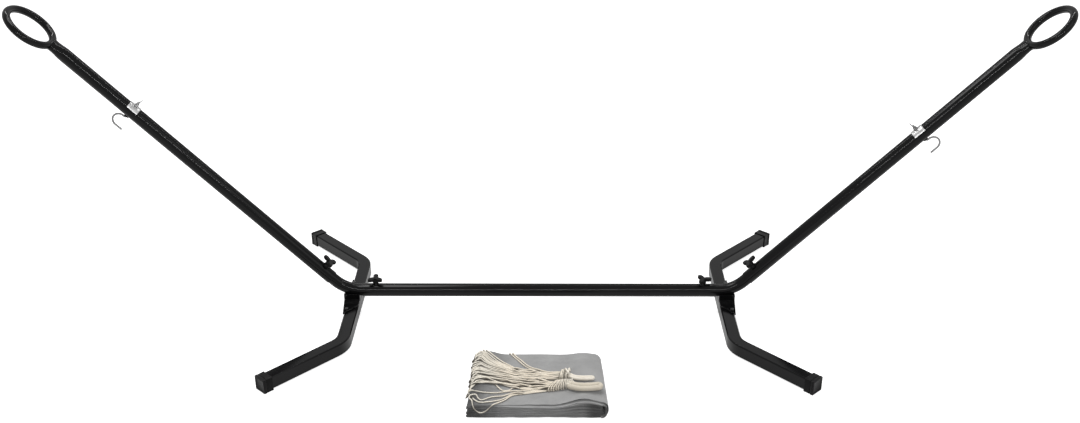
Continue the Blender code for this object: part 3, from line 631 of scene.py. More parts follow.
def waves(u, v, seed, long=0.11):
    """A smooth unevenness between -1 and 1, the same at every run."""
    total = 0.0
    for k, weight in enumerate((0.5, 0.3, 0.2)):
        turn = 1.3 * seed + 2.1 * k
        size = 2 * math.pi / (long * 0.62 ** k)
        across = u * math.cos(turn) + v * math.sin(turn)
        total = total + weight * np.sin(across * size + 3.7 * seed + k + 1.2 * np.sin(v * size * 0.7 + seed))
    return total


def slump(u, v):
    """How much lower the pile lies at its left end, most at the front corner."""
    left = fade(u, 0.022)
    corner = fade(u, 0.05) * fade(v, 0.05)
    return 0.08 * left + 0.16 * corner


def relief(u, v):
    """The soft hollows and the long crease of the top canvas."""
    crease = 0.0012 * np.exp(-(((v - 0.196 + 0.02 * (u - 0.2)) / 0.006) ** 2)) * eased(u, 0.1, 0.06)
    dent = -0.0022 * np.exp(-(((u - 0.2) / 0.09) ** 2 + ((v - 0.105) / 0.07) ** 2))
    return 0.0012 * waves(u, v, 1, 0.16) + crease + dent


def cloth_top(u, v):
    """The height of the canvas under the cords."""
    return (TOP + relief(u, v)) * (1 - slump(u, v)) + crown(u, v)


def lengths(vectors):
    return np.linalg.norm(vectors, axis=1)


def run_of(line):
    """How far along a line each of its points lies."""
    return np.concatenate([[0], np.cumsum(lengths(np.diff(line, axis=0)))])


def evenly(points, step):
    """Places a set step apart on a smooth curve through the points."""
    points = np.asarray(points, float)
    padded = np.vstack([2 * points[0] - points[1], points, 2 * points[-1] - points[-2]])
    fine = []
    for k in range(len(points) - 1):
        a, b, c, d = padded[k : k + 4]
        for t in np.arange(0, 1, 0.05):
            curve = 2 * b + (c - a) * t + (2 * a - 5 * b + 4 * c - d) * t * t
            fine.append(0.5 * (curve + (3 * b - a - 3 * c + d) * t ** 3))
    fine = np.vstack([fine, points[-1]])
    run = run_of(fine)
    at = np.linspace(0, run[-1], max(2, int(round(run[-1] / step)) + 1))
    return np.stack([np.interp(at, run, fine[:, k]) for k in range(3)], axis=1)


def ways_along(line):
    ahead = np.gradient(line, axis=0)
    return ahead / lengths(ahead)[:, None]


def frames_along(line):
    """Two directions square to the line at each of its points, turning as little as they can."""
    ahead = ways_along(line)
    side = np.cross(ahead[0], (0.0, 0.0, 1.0))
    if np.linalg.norm(side) < 0.1:
        side = np.cross(ahead[0], (0.0, 1.0, 0.0))
    sides = []
    for direction in ahead:
        side = side - direction * side.dot(direction)
        side = side / np.linalg.norm(side)
        sides.append(side)
    sides = np.array(sides)
    return sides, np.cross(ahead, sides)


def smooth_piece(name, points, faces, layer, uv, material):
    """A smooth piece from its points and faces, with its own UV layer."""
    mesh = bpy.data.meshes.new(name)
    mesh.from_pydata(points.tolist(), [], faces)
    mesh.uv_layers.new(name=layer).data.foreach_set("uv", uv.astype(np.float32).ravel())
    mesh.polygons.foreach_set("use_smooth", [True] * len(mesh.polygons))
    mesh.update()
    return dress(scene_object(name, mesh), material)


def mark(piece, name, values):
    marks = piece.data.attributes.new(name, "FLOAT", "POINT")
    marks.data.foreach_set("value", values.astype(np.float32).ravel())


def tube(name, line, material, turns, lay, reach_of):
    """A closed tube whose section turns once in each lay, with its run and its turn as UV."""
    sides, ups = (way[:, None] for way in frames_along(line))
    run = run_of(line)
    around = np.arange(turns) * 2 * math.pi / turns
    angle = (around[None] + (2 * math.pi * run / lay)[:, None])[..., None]
    reach = reach_of(run[:, None], around[None])[..., None]
    points = line[:, None] + reach * (np.cos(angle) * sides + np.sin(angle) * ups)
    last = (len(line) - 1) * turns
    k = np.arange(turns)
    first = np.arange(0, last, turns)[:, None]
    here, after = first + k, first + (k + 1) % turns
    faces = np.stack([here, after, after + turns, here + turns], axis=2).reshape(-1, 4)
    caps = [list(range(turns))[::-1], [last + i for i in range(turns)]]
    uv = np.zeros((len(line) - 1, turns, 4, 2))
    uv[..., 0] = np.stack([run[:-1], run[:-1], run[1:], run[1:]], axis=1)[:, None]
    uv[..., 1] = np.stack([k, k + 1, k + 1, k], axis=1) / turns
    uv = np.concatenate([uv.reshape(-1, 2), np.zeros((2 * turns, 2))])
    return smooth_piece(name, points.reshape(-1, 3), faces.tolist() + caps, "lay", uv, material)


def twisted(name, line, radius, lay):
    """A laid rope: its three strands are lobes of the section."""
    def reach(run, around):
        return radius * (1 - 0.16 * (1 - np.abs(np.cos(3 * around / 2))))

    return tube(name, line, COTTON, 12, lay, reach)


def served(name, line, radius, material):
    """A loop covered with close turns of thread: fine rounded ribs all along it."""
    def reach(run, around):
        phase = run / RIB_PITCH + around / (2 * math.pi)
        rib = radius * (1 - 0.075 * (1 - np.abs(np.sin(math.pi * phase))) ** 1.5)
        return rib * (1 + 0.02 * np.sin(run * 310 + 1))

    return tube(name, line, material, 16, math.inf, reach)


# Canvas: one long sheet, folded to and fro across its width and then six times along its length

LAYERS = 6
LAYER_PITCH = (PASS_PITCH - PASS_GAP) / LAYERS
LEVELS = [PASS_PITCH * (k + 0.5) for k in range(PASSES)]
TURN_R = PASS_PITCH * (PASSES - 1) / 2
TURN_U = CLOTH_WIDTH - PASS_PITCH / 2 - TURN_R
NOSES = {1: 0.3445, 3: 0.34}
LOFT = (0.8, 0.83, 0.86, 0.88, 1.0, 1.0)
LIFTS = (0.0, 0.05, 0.14, 0.34, 0.54)
BIG_TURN = 9
CANVAS_STEP = 0.003
TOP_COLUMNS, UNDER_COLUMNS = 42, 9


def fold_line(step):
    """The middle line of the folded strip, with the pass that each point is on."""
    half = PASS_PITCH / 2
    line, which = [], []

    def put(points, mark):
        for point in points:
            if not line or math.hypot(point[0] - line[-1][0], point[1] - line[-1][1]) > step * 0.3:
                line.append(point)
                which.append(mark)

    def run(a, b, mark):
        count = int(abs(b - a) / step)
        put([(a + (b - a) * k / count, LEVELS[mark]) for k in range(count + 1)], mark)

    def bend(u, z, radius, start, end, pitch, mark):
        count = max(4, int(abs(end - start) * radius / pitch))
        angles = np.linspace(start, end, count + 1)
        put([(u + radius * math.cos(a), z + radius * math.sin(a)) for a in angles], mark)

    run(0.0, TURN_U, 5)
    bend(TURN_U, LEVELS[0] + TURN_R, TURN_R, math.pi / 2, -math.pi / 2, step * 0.6, BIG_TURN)
    run(TURN_U, PASS_PITCH, 0)
    for k in range(4):
        middle = (LEVELS[k] + LEVELS[k + 1]) / 2
        if k % 2 == 0:
            bend(PASS_PITCH, middle, half, -math.pi / 2, -3 * math.pi / 2, step * 0.35, k)
            run(PASS_PITCH, NOSES[k + 1], k + 1)
        else:
            bend(NOSES[k], middle, half, -math.pi / 2, math.pi / 2, step * 0.35, k)
            run(NOSES[k], PASS_PITCH if k < 3 else 0.0, k + 1)
    return np.array(line), np.array(which)


def layer_line():
    """Each column of the folded sheet: its share of the depth, its layer and its run."""
    across, layer = [], []
    for k in range(LAYERS):
        forward = k % 2 == 1
        if k:
            for angle in np.linspace(0, math.pi, 7)[1:-1]:
                out = math.sin(angle) * (LAYER_PITCH * 0.55)
                across.append(-out / CLOTH_DEPTH if forward else 1 + out / CLOTH_DEPTH)
                layer.append(k - 0.5 - 0.5 * math.cos(angle))
        shares = np.linspace(0, 1, (TOP_COLUMNS if k == LAYERS - 1 else UNDER_COLUMNS) + 1)
        across.extend(shares if forward else 1 - shares)
        layer.extend([float(k)] * len(shares))
    across, layer = np.array(across), np.array(layer)
    steps = np.abs(np.diff(across)) * CLOTH_DEPTH + np.abs(np.diff(layer)) * LAYER_PITCH
    return across, layer, np.concatenate([[0], np.cumsum(steps)])


def canvas_shade_and_blotches(u, v, across, layer, outer, run):
    """How dark the canvas is painted: painted shade most in the front folds, the right end's mouth and the
    left end under the cord loops, with faint random blotches of tone.
    """
    upper = outer * np.clip(np.clip(layer - 3, 0, 1) + 1 - eased(u, 0.338, 0.018), 0, 1)
    folds = (0.02 + 0.16 * eased(u, 0.2, 0.09)) * np.exp(-across / 0.02) * (1 - upper)
    mouth = 0.66 * eased(u, 0.285, 0.04) * np.exp(-across / 0.35) * (1 - upper)
    behind = eased(v, 0.13, 0.05)
    spread = (u + 0.014 * waves(u, v, 4.0, 0.05)) / (0.122 + 0.022 * behind)
    left = (0.74 - 0.22 * behind) * (1 - eased(spread))
    blotch = 0.05 * (1 + waves(run, v, 2.6, 0.09))
    return np.clip(np.maximum(np.maximum(folds, mouth), left) + blotch, 0, 0.9)


def folded_canvas():
    """The sheet: its fold line swept over its layers, then lifted, crumpled and slumped."""
    line, which = fold_line(CANVAS_STEP)
    ahead = ways_along(line)
    normal = np.stack([-ahead[:, 1], ahead[:, 0]], axis=1)
    run = run_of(line)
    top, turn = which == 5, which == BIG_TURN
    across, layer, width = layer_line()
    A, RUN = np.meshgrid(across, run)
    K, U = np.meshgrid(layer, line[:, 0])
    Z = np.repeat(line[:, 1:], len(across), axis=1)
    V = A * CLOTH_DEPTH

    share = np.interp(np.arange(len(line)), np.nonzero(turn)[0][[0, -1]], [1.0, 0.0])
    loose = np.where(top, eased(line[:, 0], 0.1, 0.12), np.where(turn, share, 0.0))[:, None]
    gap = np.clip(4.0 - K, 0, 1) * 0.0022 * loose
    offset = (K - (LAYERS - 1) / 2) * LAYER_PITCH - gap
    wave = 0.00016 * waves(RUN, V, 2.0, 0.07) + 0.00012 * np.sin(K * 2.4 + RUN * 60)
    offset = offset + wave
    U = U + normal[:, :1] * offset
    Z = Z + normal[:, 1:] * offset

    loft = np.interp(K, np.arange(LAYERS), LOFT)
    closing = eased(U, 0.296, 0.04)
    lift = crown(U, V)
    high = crown(np.full_like(V, TURN_U), V)
    fall = eased(Z, LEVELS[0], 2 * TURN_R)
    filling = np.interp(line[:, 1], LEVELS[:5], LIFTS)[:, None] * lift
    raised = lift * (loft + (1 - loft) * closing)
    Z = Z + np.where(top[:, None], raised, np.where(turn[:, None], high * fall, filling))

    outer = np.where(top | turn, 1.0, 0.0)[:, None]
    pair = np.floor(K / 2)
    front = 0.0012 + 0.0017 * waves(RUN, pair * 0.37, 3.0, 0.19)
    front = (front + 0.0008 * waves(RUN, pair * 0.91, 5.0, 0.045)) * np.where(outer > 0, 1.0, 0.75)
    forward = 0.0062 * eased(U, 0.05, 0.12)
    inset = np.where(pair == 2, 0.0004, -0.0014 - forward)
    front = front + np.where(outer > 0, inset, -0.003)
    back = 0.003 + 0.0025 * waves(RUN, np.floor((K + 1) / 2) * 0.53, 4.0, 0.23)
    corner = 0.01 * np.exp(-((CLOTH_WIDTH - U) / 0.016)) * (outer > 0)
    V = V + front * (1 - A) - (back + corner) * A

    edge = fade(U, 0.016)
    ragged = 0.003 * waves(V, RUN * 0.11, 6.0, 0.06) + 0.0012 * np.sin(V * 260 + RUN * 9)
    U = U + (0.0015 + ragged) * edge + 0.004 * edge * np.clip(1 - V / 0.05, 0, 1)

    # Painted shade of the folds, the mouth and the left end, with faint blotches of tone.
    shade_and_blotch = canvas_shade_and_blotches(U, V, A, K, outer, RUN)
    U = U - 0.011 * np.clip(V / CLOTH_DEPTH, 0, 1) * eased(U, 0.24, 0.1)
    U = U + left_edge(V) * (1 - eased(U / 0.1))
    tall = np.clip(Z / TOP, 0, 1.2)
    Z = np.maximum(Z * (1 - slump(U, V)) + relief(U, V) * tall, 0.0004)

    rows, columns = U.shape
    points = np.stack([U, V, Z], axis=2).reshape(-1, 3) + ORIGIN
    first = (np.arange(rows - 1) * columns)[:, None] + np.arange(columns - 1)[None]
    faces = np.stack([first, first + 1, first + columns + 1, first + columns], axis=2).reshape(-1, 4)
    uv = np.stack([RUN, np.broadcast_to(width, RUN.shape)], axis=2).reshape(-1, 2)[faces.ravel()]
    piece = smooth_piece("hammock_canvas", points, faces.tolist(), "threads", uv, CANVAS)
    # The canvas carries its painted shade and blotches as a mark.
    mark(piece, "shade_and_blotch", shade_and_blotch)
    belong(piece, "hammock", "hammock_cloth")


folded_canvas()


# Cords: each clew is one long cord, laid in loops from the neck to the canvas's left edge

CORD_D = 0.0035
WHIP_D = 0.0028
KNOT_D = 0.0052
STEP = 0.005
FINE_STEP = 0.0013
DEPTH_CELL = 0.0013
SETTLE_ROUNDS = 240
NECK_U = 0.262
COLUMN_PITCH = 0.0037
ROW_PITCH = 0.0034
NECKS = {
    "upper": {
        "v": 0.122, "rows": 5, "middle": 0.128, "spread": 0.0084,
        "winding": (0.243, 0.251, 3, (-0.004, -0.002), (0.0085, 0.0045)),
        "loop": "278 99 53.5, 296 91 56.5, 312 90 57.5, 329 93.5 56", "loop_d": 0.0086, "loop_half": 0.0044,
    },
    "lower": {
        "v": 0.076, "rows": 4, "middle": 0.083, "spread": 0.0108,
        "winding": (0.222, 0.277, 12, (-0.014, 0.007), (0.0145, 0.0078)),
        "loop": "276 56 56, 290 47 59.5, 316 45.5 61, 349 54 58.5", "loop_d": 0.014, "loop_half": 0.0071,
    },
}
OVER_EDGE = (-0.15, 0.0, -1.0)
# The loops that stray from the fans: two strands, and the way in which the cord turns from one to the other
STRAYS = {
    "upper": (
        ("44 237.5 43, 46 233, 50.6 226, 60.4 216.5, 74.4 204, 90.4 190.5, 105.9 177.5, 121.2 164, 134 153",
         "36 237.5 43, 39 231, 45 222, 56 211, 70 198.5, 86 185, 101 172, 115 160", (0.2, 0.4, -1.0)),
        ("115.5 236.5 30, 118.5 229, 122.6 221, 133 206, 144 191, 155 177, 166 166.5, 182 154",
         "106.5 236.5 30, 110 228.5, 118 216.5, 129 200.5, 140 185, 151.5 170, 168 157", (-0.2, 0.4, -1.0)),
    ),
    "lower": (
        ("3 52 29, 9.3 69.3, 15.8 80.6, 24.3 91.9, 35.1 97.4, 50 97, 66.3 93.4, 73.9 88.9, 79.6 79,"
         "87.5 66.5, 95.1 59, 105.8 56.8, 113.1 59.9, 120.1 70",
         "1.5 43 29, 9 60, 16.5 88, 30 104, 50 104", OVER_EDGE),
        ("16 48, 21 52, 31.7 55, 40.7 53.5, 51.8 51, 64.6 49.5, 77.3 48.2, 88.1 50.5, 98.8 53.6, 111.5 56",
         "15 38, 17.8 32, 24.6 23.5, 31.5 15, 40 10, 52 11, 64.5 12.3, 78.6 14.6, 89.3 17.6, 105 29, 118 42",
         (-1.0, 0.0, 0.1)),
        ("29 36 43, 34.4 25.5 43, 41 19, 48.1 20, 54.9 25.3, 65.4 30.2, 77.9 33.3, 95.9 34.7, 110.1 43",
         "19 13 43, 19 4 42.5, 20 -3 40.5, 22.4 -6.6 35, 29 -8.2 31, 38.2 -8.6 28.5, 46.7 -8.2 30,"
         "55.3 -6.6 34.5, 67.2 -3 39.5, 79.2 3, 89.6 9.5, 101.9 17, 110.5 30, 119 40", (-1.0, 0.35, 0.1)),
    ),
}


def guides(places):
    """Guide points from their places in mm; the height of one that lies on the cloth is left out."""
    rows = [(place.split() + ["0"])[:3] for place in places.split(",")]
    return [tuple(round(float(size) / 1000, 7) for size in row) for row in rows]


def fan_loop(v, width, bow, out):
    """Guide points of one loop's two strands, from the left edge towards the bundle."""
    edge = left_edge(v)
    strands = []
    for side in (1, -1):
        at = v + side * width / 2
        near = v + side * width * 0.16
        strands.append([
            (edge - out, at, 0.029), (edge + 0.0025, at + bow * 0.15, 0), (edge + 0.01, near + bow * 0.75, 0),
            (edge + 0.02, near + bow, 0), (edge + 0.038, near + bow - 0.2 * (near + bow - 0.1), 0),
        ])
    return (*strands, OVER_EDGE)


def fan(count, first, last, seed):
    loops = []
    for k in range(count):
        v = first + (last - first) * k / (count - 1)
        width = 0.0088 + 0.0022 * math.sin(2.7 * k + seed)
        bow = min(0.014 + 0.005 * math.sin(1.9 * k + seed * 2), 0.229 - v)
        v = v + 0.0015 * math.sin(4.1 * k + seed)
        loops.append(fan_loop(v, width, bow, 0.0028 + 0.0012 * math.sin(3.3 * k)))
    return loops


def loops_of(clew):
    strays = [(guides(a), guides(b), way) for a, b, way in STRAYS[clew]]
    if clew == "upper":
        return strays + fan(10, 0.208, 0.142, 0.4)
    return fan(8, 0.135, 0.087, 1.7) + strays


def strand_line(guides, clew, slot, level):
    """One strand from its loop end on the left to its slot in the neck."""
    shape = NECKS[clew]
    column, row = slot
    v_slot = shape["v"] + column * COLUMN_PITCH
    points = []
    for u, v, z in guides:
        points.append((u, v, z if z else cloth_top(u, v) + CORD_D / 2 + level * CORD_D * 0.8))
    start_u, start_v = guides[-1][0], guides[-1][1]
    for share in (0.2, 0.4, 0.6, 0.8, 1.0):
        u = start_u + (NECK_U - start_u) * share
        mid = shape["middle"] + column * shape["spread"]
        v = start_v + (mid - start_v) * eased(u, start_u, 0.085)
        v = v + (v_slot - v) * eased(u, 0.17, 0.075)
        stacked = level * 0.8 * (1 - share) * CORD_D + row * share * ROW_PITCH
        under = WHIP_D * eased(u, 0.205, 0.04)
        points.append((u, v, cloth_top(u, v) + CORD_D / 2 + stacked + under))
    return evenly(points, STEP)


def clew_line(clew):
    """The whole cord of a clew: loops in a stepped order, so that it turns wide at the neck."""
    loops = loops_of(clew)
    count, rows = len(loops), NECKS[clew]["rows"]
    columns = math.ceil(2 * count / rows)
    lines = []
    for k, (*strands, way) in enumerate(loops):
        pair = []
        for index, guide in enumerate(strands, 2 * k):
            column, row = divmod(index, rows)
            row = rows - 1 - row if column % 2 else row
            level = (index * 7 + (3 if clew == "lower" else 0)) % 5
            pair.append(strand_line(guide, clew, ((columns - 1) / 2 - column, row), level))
        lines.append((*pair, way))
    half = (count + 1) // 2
    path, held = [], []
    for k in range(count):
        a, b, way = lines[k // 2 if k % 2 == 0 else half + k // 2]
        for strand, outward in ((a[::-1], (1.0, 0, 0)), (b, way)):
            if path:
                join_turn(path, held, strand[0], np.array(outward))
            path += list(strand)
            held += [True] + [False] * (len(strand) - 2) + [True]
    return np.array(path), np.array(held)


def join_turn(path, held, end, outward):
    """Adds a half turn from the path's last point to the next strand's first."""
    start = path[-1]
    middle, reach = (start + end) / 2, (start - end) / 2
    size = np.linalg.norm(reach)
    outward = outward / np.linalg.norm(outward)
    steps = max(3, int(round(math.pi * size / STEP)))
    for k in range(1, steps):
        angle = math.pi * k / steps
        path.append(middle + reach * math.cos(angle) + outward * size * math.sin(angle))
        held.append(True)


def closest(p, q, r, s):
    """The nearest places on segments pq and rs, as shares of each."""
    d1, d2, w = q - p, s - r, p - r
    a, e, f = (d1 * d1).sum(1), (d2 * d2).sum(1), (d2 * w).sum(1)
    c, b = (d1 * w).sum(1), (d1 * d2).sum(1)
    low = np.maximum(a * e - b * b, 1e-14)
    t = np.clip((b * f - c * e) / low, 0, 1)
    u = np.clip((b * t + f) / e, 0, 1)
    t = np.clip((b * u - c) / a, 0, 1)
    return t, u


def near_pairs(points, chain, reach, skip):
    """Pairs of segments that lie near each other and aren't neighbours on one cord."""
    middle = (points[:-1] + points[1:]) / 2
    valid = np.nonzero(chain[:-1] == chain[1:])[0]
    cell = np.floor(middle[valid] / reach).astype(int)
    order = {}
    for index, key in zip(valid, map(tuple, cell)):
        order.setdefault(key, []).append(index)
    firsts, seconds = [], []
    for key, members in order.items():
        for step in np.ndindex(3, 3, 3):
            other = order.get(tuple(place + shift - 1 for place, shift in zip(key, step)))
            if other is not None:
                a, b = np.meshgrid(members, other, indexing="ij")
                firsts.append(a.ravel())
                seconds.append(b.ravel())
    a, b = np.concatenate(firsts), np.concatenate(seconds)
    keep = (a < b) & ((chain[a] != chain[b]) | (b - a > skip))
    return a[keep], b[keep]


def settle(points, chain, held):
    """Lets the cords down on the canvas and on each other, a diameter apart, without stretching."""
    rest = lengths(np.diff(points, axis=0))
    linked = chain[:-1] == chain[1:]
    free = np.where(held, 0.0, 1.0)[:, None]
    home = points.copy()
    inner = np.zeros(len(points))
    inner[1:-1] = linked[:-1] & linked[1:]
    thick = CORD_D * 1.04
    for turn in range(SETTLE_ROUNDS):
        if turn % 6 == 0:
            a, b = near_pairs(points, chain, 0.0095, 4)
        drop = 0.00035 if turn < SETTLE_ROUNDS * 0.8 else 0.0
        points[:, 2] -= drop * free[:, 0]
        points[:, :2] += (home[:, :2] - points[:, :2]) * 0.03 * free
        soften = points.copy()
        soften[1:-1] = 0.5 * (points[:-2] + points[2:])
        points += (soften - points) * 0.1 * free * inner[:, None]
        for _ in range(2):
            keep_lengths(points, rest, linked, free)
            push_apart(points, a, b, thick, free)
            inside = (points[:, 1] > 0.0) & (points[:, 1] < CLOTH_DEPTH)
            inside &= points[:, 0] > left_edge(points[:, 1]) + 0.002
            floor = np.where(inside, cloth_top(points[:, 0], points[:, 1]) + CORD_D / 2 + 0.0001, CORD_D / 2)
            lift = np.maximum(floor - points[:, 2], 0.0)
            points[:, 2] += np.where(lift > 0.012, 0.0, lift) * free[:, 0]
    return points


def keep_lengths(points, rest, linked, free):
    """Brings each segment back to its own length, every other one at a time."""
    for odd in (0, 1):
        k = np.arange(odd, len(points) - 1, 2)
        k = k[linked[k]]
        gap = points[k + 1] - points[k]
        long = lengths(gap)
        weight = np.maximum(free[k] + free[k + 1], 1e-9)
        fix = gap * ((long - rest[k]) / long)[:, None] / weight
        points[k] += fix * free[k]
        points[k + 1] -= fix * free[k + 1]


def push_apart(points, a, b, thick, free):
    """Moves segments that touch a diameter apart."""
    t, u = closest(points[a], points[a + 1], points[b], points[b + 1])
    there = points[a] * (1 - t)[:, None] + points[a + 1] * t[:, None]
    here = points[b] * (1 - u)[:, None] + points[b + 1] * u[:, None]
    apart = there - here
    long = np.maximum(lengths(apart), 1e-7)
    push = np.maximum(thick - long, 0.0)
    touching = push > 0
    a, b, t, u = a[touching], b[touching], t[touching][:, None], u[touching][:, None]
    move = apart[touching] / long[touching][:, None] * push[touching][:, None] * 0.5
    shift = np.zeros_like(points)
    count = np.zeros(len(points))
    for index, share, sign in ((a, 1 - t, 1), (a + 1, t, 1), (b, 1 - u, -1), (b + 1, u, -1)):
        np.add.at(shift, index, sign * move * share)
        np.add.at(count, index, share[:, 0])
    points += shift / np.maximum(count, 1.0)[:, None] * 1.3 * free


def smoothed(line, reach):
    """The line with its kinks rounded over about the reach."""
    count = int(3 * reach / FINE_STEP)
    weight = np.exp(-0.5 * (np.arange(-count, count + 1) * FINE_STEP / reach) ** 2)
    weight /= weight.sum()
    padded = np.vstack([np.repeat(line[:1], count, axis=0), line, np.repeat(line[-1:], count, axis=0)])
    soft = np.stack([np.convolve(padded[:, k], weight, "valid") for k in range(3)], axis=1)
    soft[0], soft[-1] = line[0], line[-1]
    return soft


def neck_size(line, u):
    """The middle and half size of a clew's neck at a distance from the left edge."""
    near = line[np.abs(line[:, 0] - u) < 0.003]
    low, high = near.min(axis=0), near.max(axis=0)
    return (low + high) / 2, (high - low) / 2 + CORD_D / 2


def squared(angle, power):
    """A cosine and a sine that are drawn out towards the corners of a square."""
    c, s = math.cos(angle), math.sin(angle)
    return math.copysign(abs(c) ** power, c), math.copysign(abs(s) ** power, s)


def neck_winding(line, first, last, turns, slants, root):
    """The cord wound round the neck of a clew, its two ends tucked under its own turns."""
    places = np.arange(0.206, 0.259, 0.004)
    sizes = np.array([np.concatenate(neck_size(line, u)) for u in places])
    steps = 26
    points = []
    for k in range(turns * steps + 1):
        share = k / (turns * steps)
        c, s = squared(2 * math.pi * k / steps + 0.7, 0.76)
        slant = slants[0] + (slants[1] - slants[0]) * share
        u = first + (last - first) * share - slant * c + 0.0005 * math.sin(k * 0.37)
        _, mid_v, mid_z, _, half_v, half_z = (np.interp(u, places, column) for column in sizes.T)
        past = eased(u, NECK_U, 0.014)
        grow = WHIP_D * 0.44 + 0.0003 * math.sin(k * 0.61)
        wide = half_v + (root[0] - half_v) * past + grow
        high = half_z + (root[1] - half_z) * past + grow
        points.append((u, mid_v + wide * c, mid_z + (root[1] - half_z) * past * 0.6 + high * s))
    tucks = [
        (u + way * 0.005, mid_v * 0.55 + v * 0.45, mid_z * 0.55 + z * 0.45)
        for (u, v, z), way in ((points[0], 1), (points[-1], -1))
    ]
    return np.array([tucks[0]] + points + [tucks[1]]) + ORIGIN


def neck_knot(middle, half):
    """A thick round knot of two passes that shuts the upper clew's neck."""
    points = []
    for k in range(121):
        t = 2 * math.pi * k / 120
        out = 0.0026 + 0.0012 * math.cos(3 * t)
        c, s = squared(2 * t, 0.85)
        along = 0.26 + 0.005 * math.sin(3 * t)
        points.append((along, middle[1] + (half[1] + out) * c, middle[2] + (half[2] + out) * s))
    return np.array(points) + ORIGIN


def hanging_loop(places, diameter, half_width):
    """The path of the thick stiff loop that goes over a hook: two legs and a round end."""
    guide = evenly(places, 0.001)
    start, reach = guide[0, 0], guide[-1, 0] - guide[0, 0]
    leg = reach - half_width - diameter / 2
    turn = np.linspace(math.pi / 2, -math.pi / 2, 9)
    flat = [(leg * k / 8, half_width) for k in range(8)]
    flat += [(leg + half_width * math.cos(a), half_width * math.sin(a)) for a in turn]
    flat += [(leg * k / 8, -half_width) for k in range(7, -1, -1)]
    points = []
    for along, aside in flat:
        u = start + along
        v = np.interp(u, guide[:, 0], guide[:, 1]) + aside
        rest = cloth_top(u, v) + diameter / 2 + 0.0003
        points.append((u, v, max(rest, np.interp(u, guide[:, 0], guide[:, 2]))))
    return np.array(points) + ORIGIN


def mark_depth(pieces, shares):
    """Marks how deep each point of the cords lies below the top of the heap round it, as painted shade for
    the cord's colour.
    """
    places = []
    for piece in pieces:
        co = np.zeros(len(piece.data.vertices) * 3)
        piece.data.vertices.foreach_get("co", co)
        places.append(co.reshape(-1, 3))
    counts = [len(co) for co in places]
    every = np.vstack(places)
    low = every.min(axis=0) - 4 * DEPTH_CELL
    size = np.ceil((every.max(axis=0) - low) / DEPTH_CELL).astype(int) + 5
    spots = tuple(np.floor((every[:, :2] - low[:2]) / DEPTH_CELL).astype(int).T)
    tops = np.zeros(size[:2])
    np.maximum.at(tops, spots, every[:, 2])
    for blend in (np.max, np.max, np.mean):
        for axis in (0, 1):
            tops = blend([tops, np.roll(tops, 1, axis), np.roll(tops, -1, axis)], axis=0)
    depth = (tops[spots] - every[:, 2]) / (2.2 * CORD_D)
    shade = np.repeat(shares, counts) * np.clip(2.0 * depth - 0.36, 0, 0.92)
    shade = shade * (1 - 0.45 * eased(every[:, 0] - CLOTH_LEFT, 0.195, 0.03))
    for piece, part in zip(pieces, np.split(shade, np.cumsum(counts)[:-1])):
        mark(piece, "deep", part)


def lay_clews():
    lines, held = zip(*(clew_line(clew) for clew in NECKS))
    chain = np.repeat(np.arange(len(lines)), [len(line) for line in lines])
    points = np.vstack(lines)
    points = settle(points, chain, np.concatenate(held))
    pieces, shares = [], []

    # The share is how strongly painted shade darkens a piece where it lies deep.
    def lay(piece, line, diameter, node, share=0.3, far_end="object", stiffness="limp"):
        belong(piece, "hammock", node)
        pieces.append(piece)
        shares.append(share)

    for number, (clew, shape) in enumerate(NECKS.items()):
        line = points[chain == number]
        fine = smoothed(evenly(line, FINE_STEP), 0.0022) + ORIGIN
        rope = twisted(f"{clew}_clew_rope", fine, CORD_D / 2 * 1.04, 0.0105)
        lay(rope, fine, CORD_D, f"{clew}_clew_cord", share=1.0)
        middle, half = neck_size(line, 0.256)
        wound = evenly(neck_winding(line, *shape["winding"]), 0.001)
        winding = twisted(f"{clew}_neck_whipping", wound, WHIP_D / 2, 0.0085)
        lay(winding, wound, WHIP_D, f"{clew}_clew_whipping")
        size = shape["loop_d"]
        places = [(NECK_U, middle[1] - 0.004, middle[2])] + guides(shape["loop"])
        eye = evenly(hanging_loop(places, size, shape["loop_half"]), 0.0004)
        loop = served(f"{clew}_hanging_loop", eye, size / 2, SERVED[clew])
        lay(loop, eye, size, f"{clew}_end_loop", stiffness="medium")
        if clew == "upper":
            knot = evenly(neck_knot(middle, half), 0.001)
            lay(twisted("upper_neck_knot", knot, KNOT_D / 2, 0.013), knot, KNOT_D, None, far_end="knot")
    mark_depth(pieces, shares)


lay_clews()


# Studio

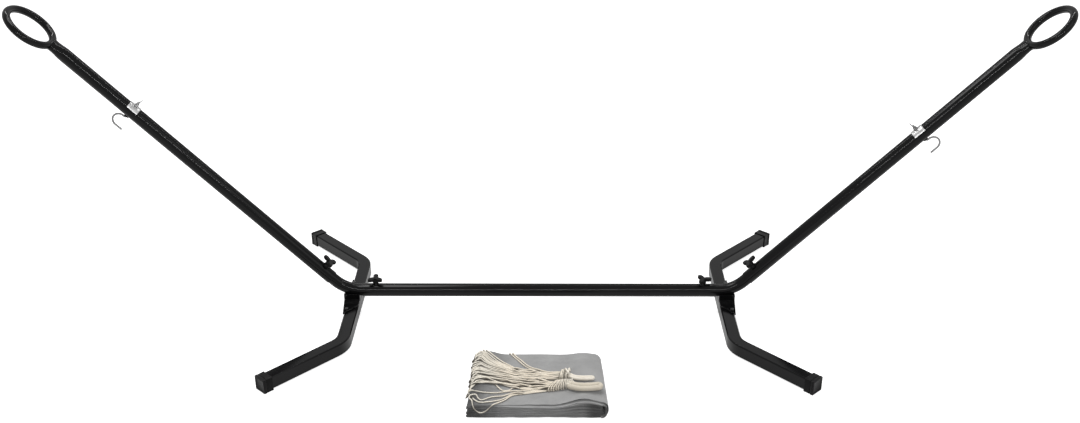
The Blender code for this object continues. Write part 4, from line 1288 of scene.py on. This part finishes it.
FLOOR_GLOW = 0.74
WORLD_LIGHT = 0.3
LAMPS = (
    ("key", (-1.1, 0.3, 3.3), 1.2, 1.2, 46),
    ("fill", (2.4, -1.6, 2.6), 2.0, 2.0, 16),
    ("back_strip", (0.0, 1.5, 2.9), 4.5, 0.1, 52),
    ("front_strip", (0.0, -3.3, 2.3), 3.6, 0.055, 60),
)


def lay_floor():
    """A white floor that keeps the shadow near the object and fades to plain white."""
    bpy.ops.object.select_all(action="DESELECT")
    bpy.ops.mesh.primitive_plane_add(size=60, location=(0, 0, 0))
    floor = bpy.context.object
    floor.name = "floor"
    material, made, shader = new_material("floor")
    made.give(shader, Base_Color=grey(0.7), Roughness=0.9)
    reach = made.add("VectorMath", operation="LENGTH")
    made.feed(reach.inputs[0], made.place())
    far = made.ramp(reach.outputs["Value"], 1.5, 2.8, FLOOR_GLOW, 0.95)
    lit = made.give(made.add("Emission"), Strength=made.times(made.seen()[0], far))
    both = made.add("AddShader")
    made.feed(both.inputs[0], shader.outputs[0])
    made.feed(both.inputs[1], lit[0])
    made.give(material.node_tree.nodes["Material Output"], Surface=both.outputs[0])
    floor.data.materials.append(material)


def light_world():
    """A world that looks white, shines softly, and leaves most of the light to the lamps."""
    world = bpy.data.worlds.new("studio")
    bpy.context.scene.world = world
    world.use_nodes = True
    made = Nodes(world.node_tree)
    seen, rays = made.seen()
    seen = made.math("MAXIMUM", seen, rays["Is Transmission Ray"])
    strength = made.math("MAXIMUM", seen, WORLD_LIGHT)
    made.give(world.node_tree.nodes["Background"], Strength=strength, Color=(1, 1, 1, 1))


def hang_lamps():
    for name, place, width, height, power in LAMPS:
        lamp = scene_object(name, bpy.data.lights.new(name, "AREA"))
        lamp.data.shape = "RECTANGLE"
        lamp.data.size = width
        lamp.data.size_y = height
        lamp.data.energy = power
        lamp.location = place
        aim = Vector((0, 0, 0.25)) - Vector(place)
        lamp.rotation_euler = aim.to_track_quat("-Z", "Y").to_euler()


lay_floor()
light_world()
hang_lamps()
bpy.context.scene.view_settings.view_transform = "Standard"
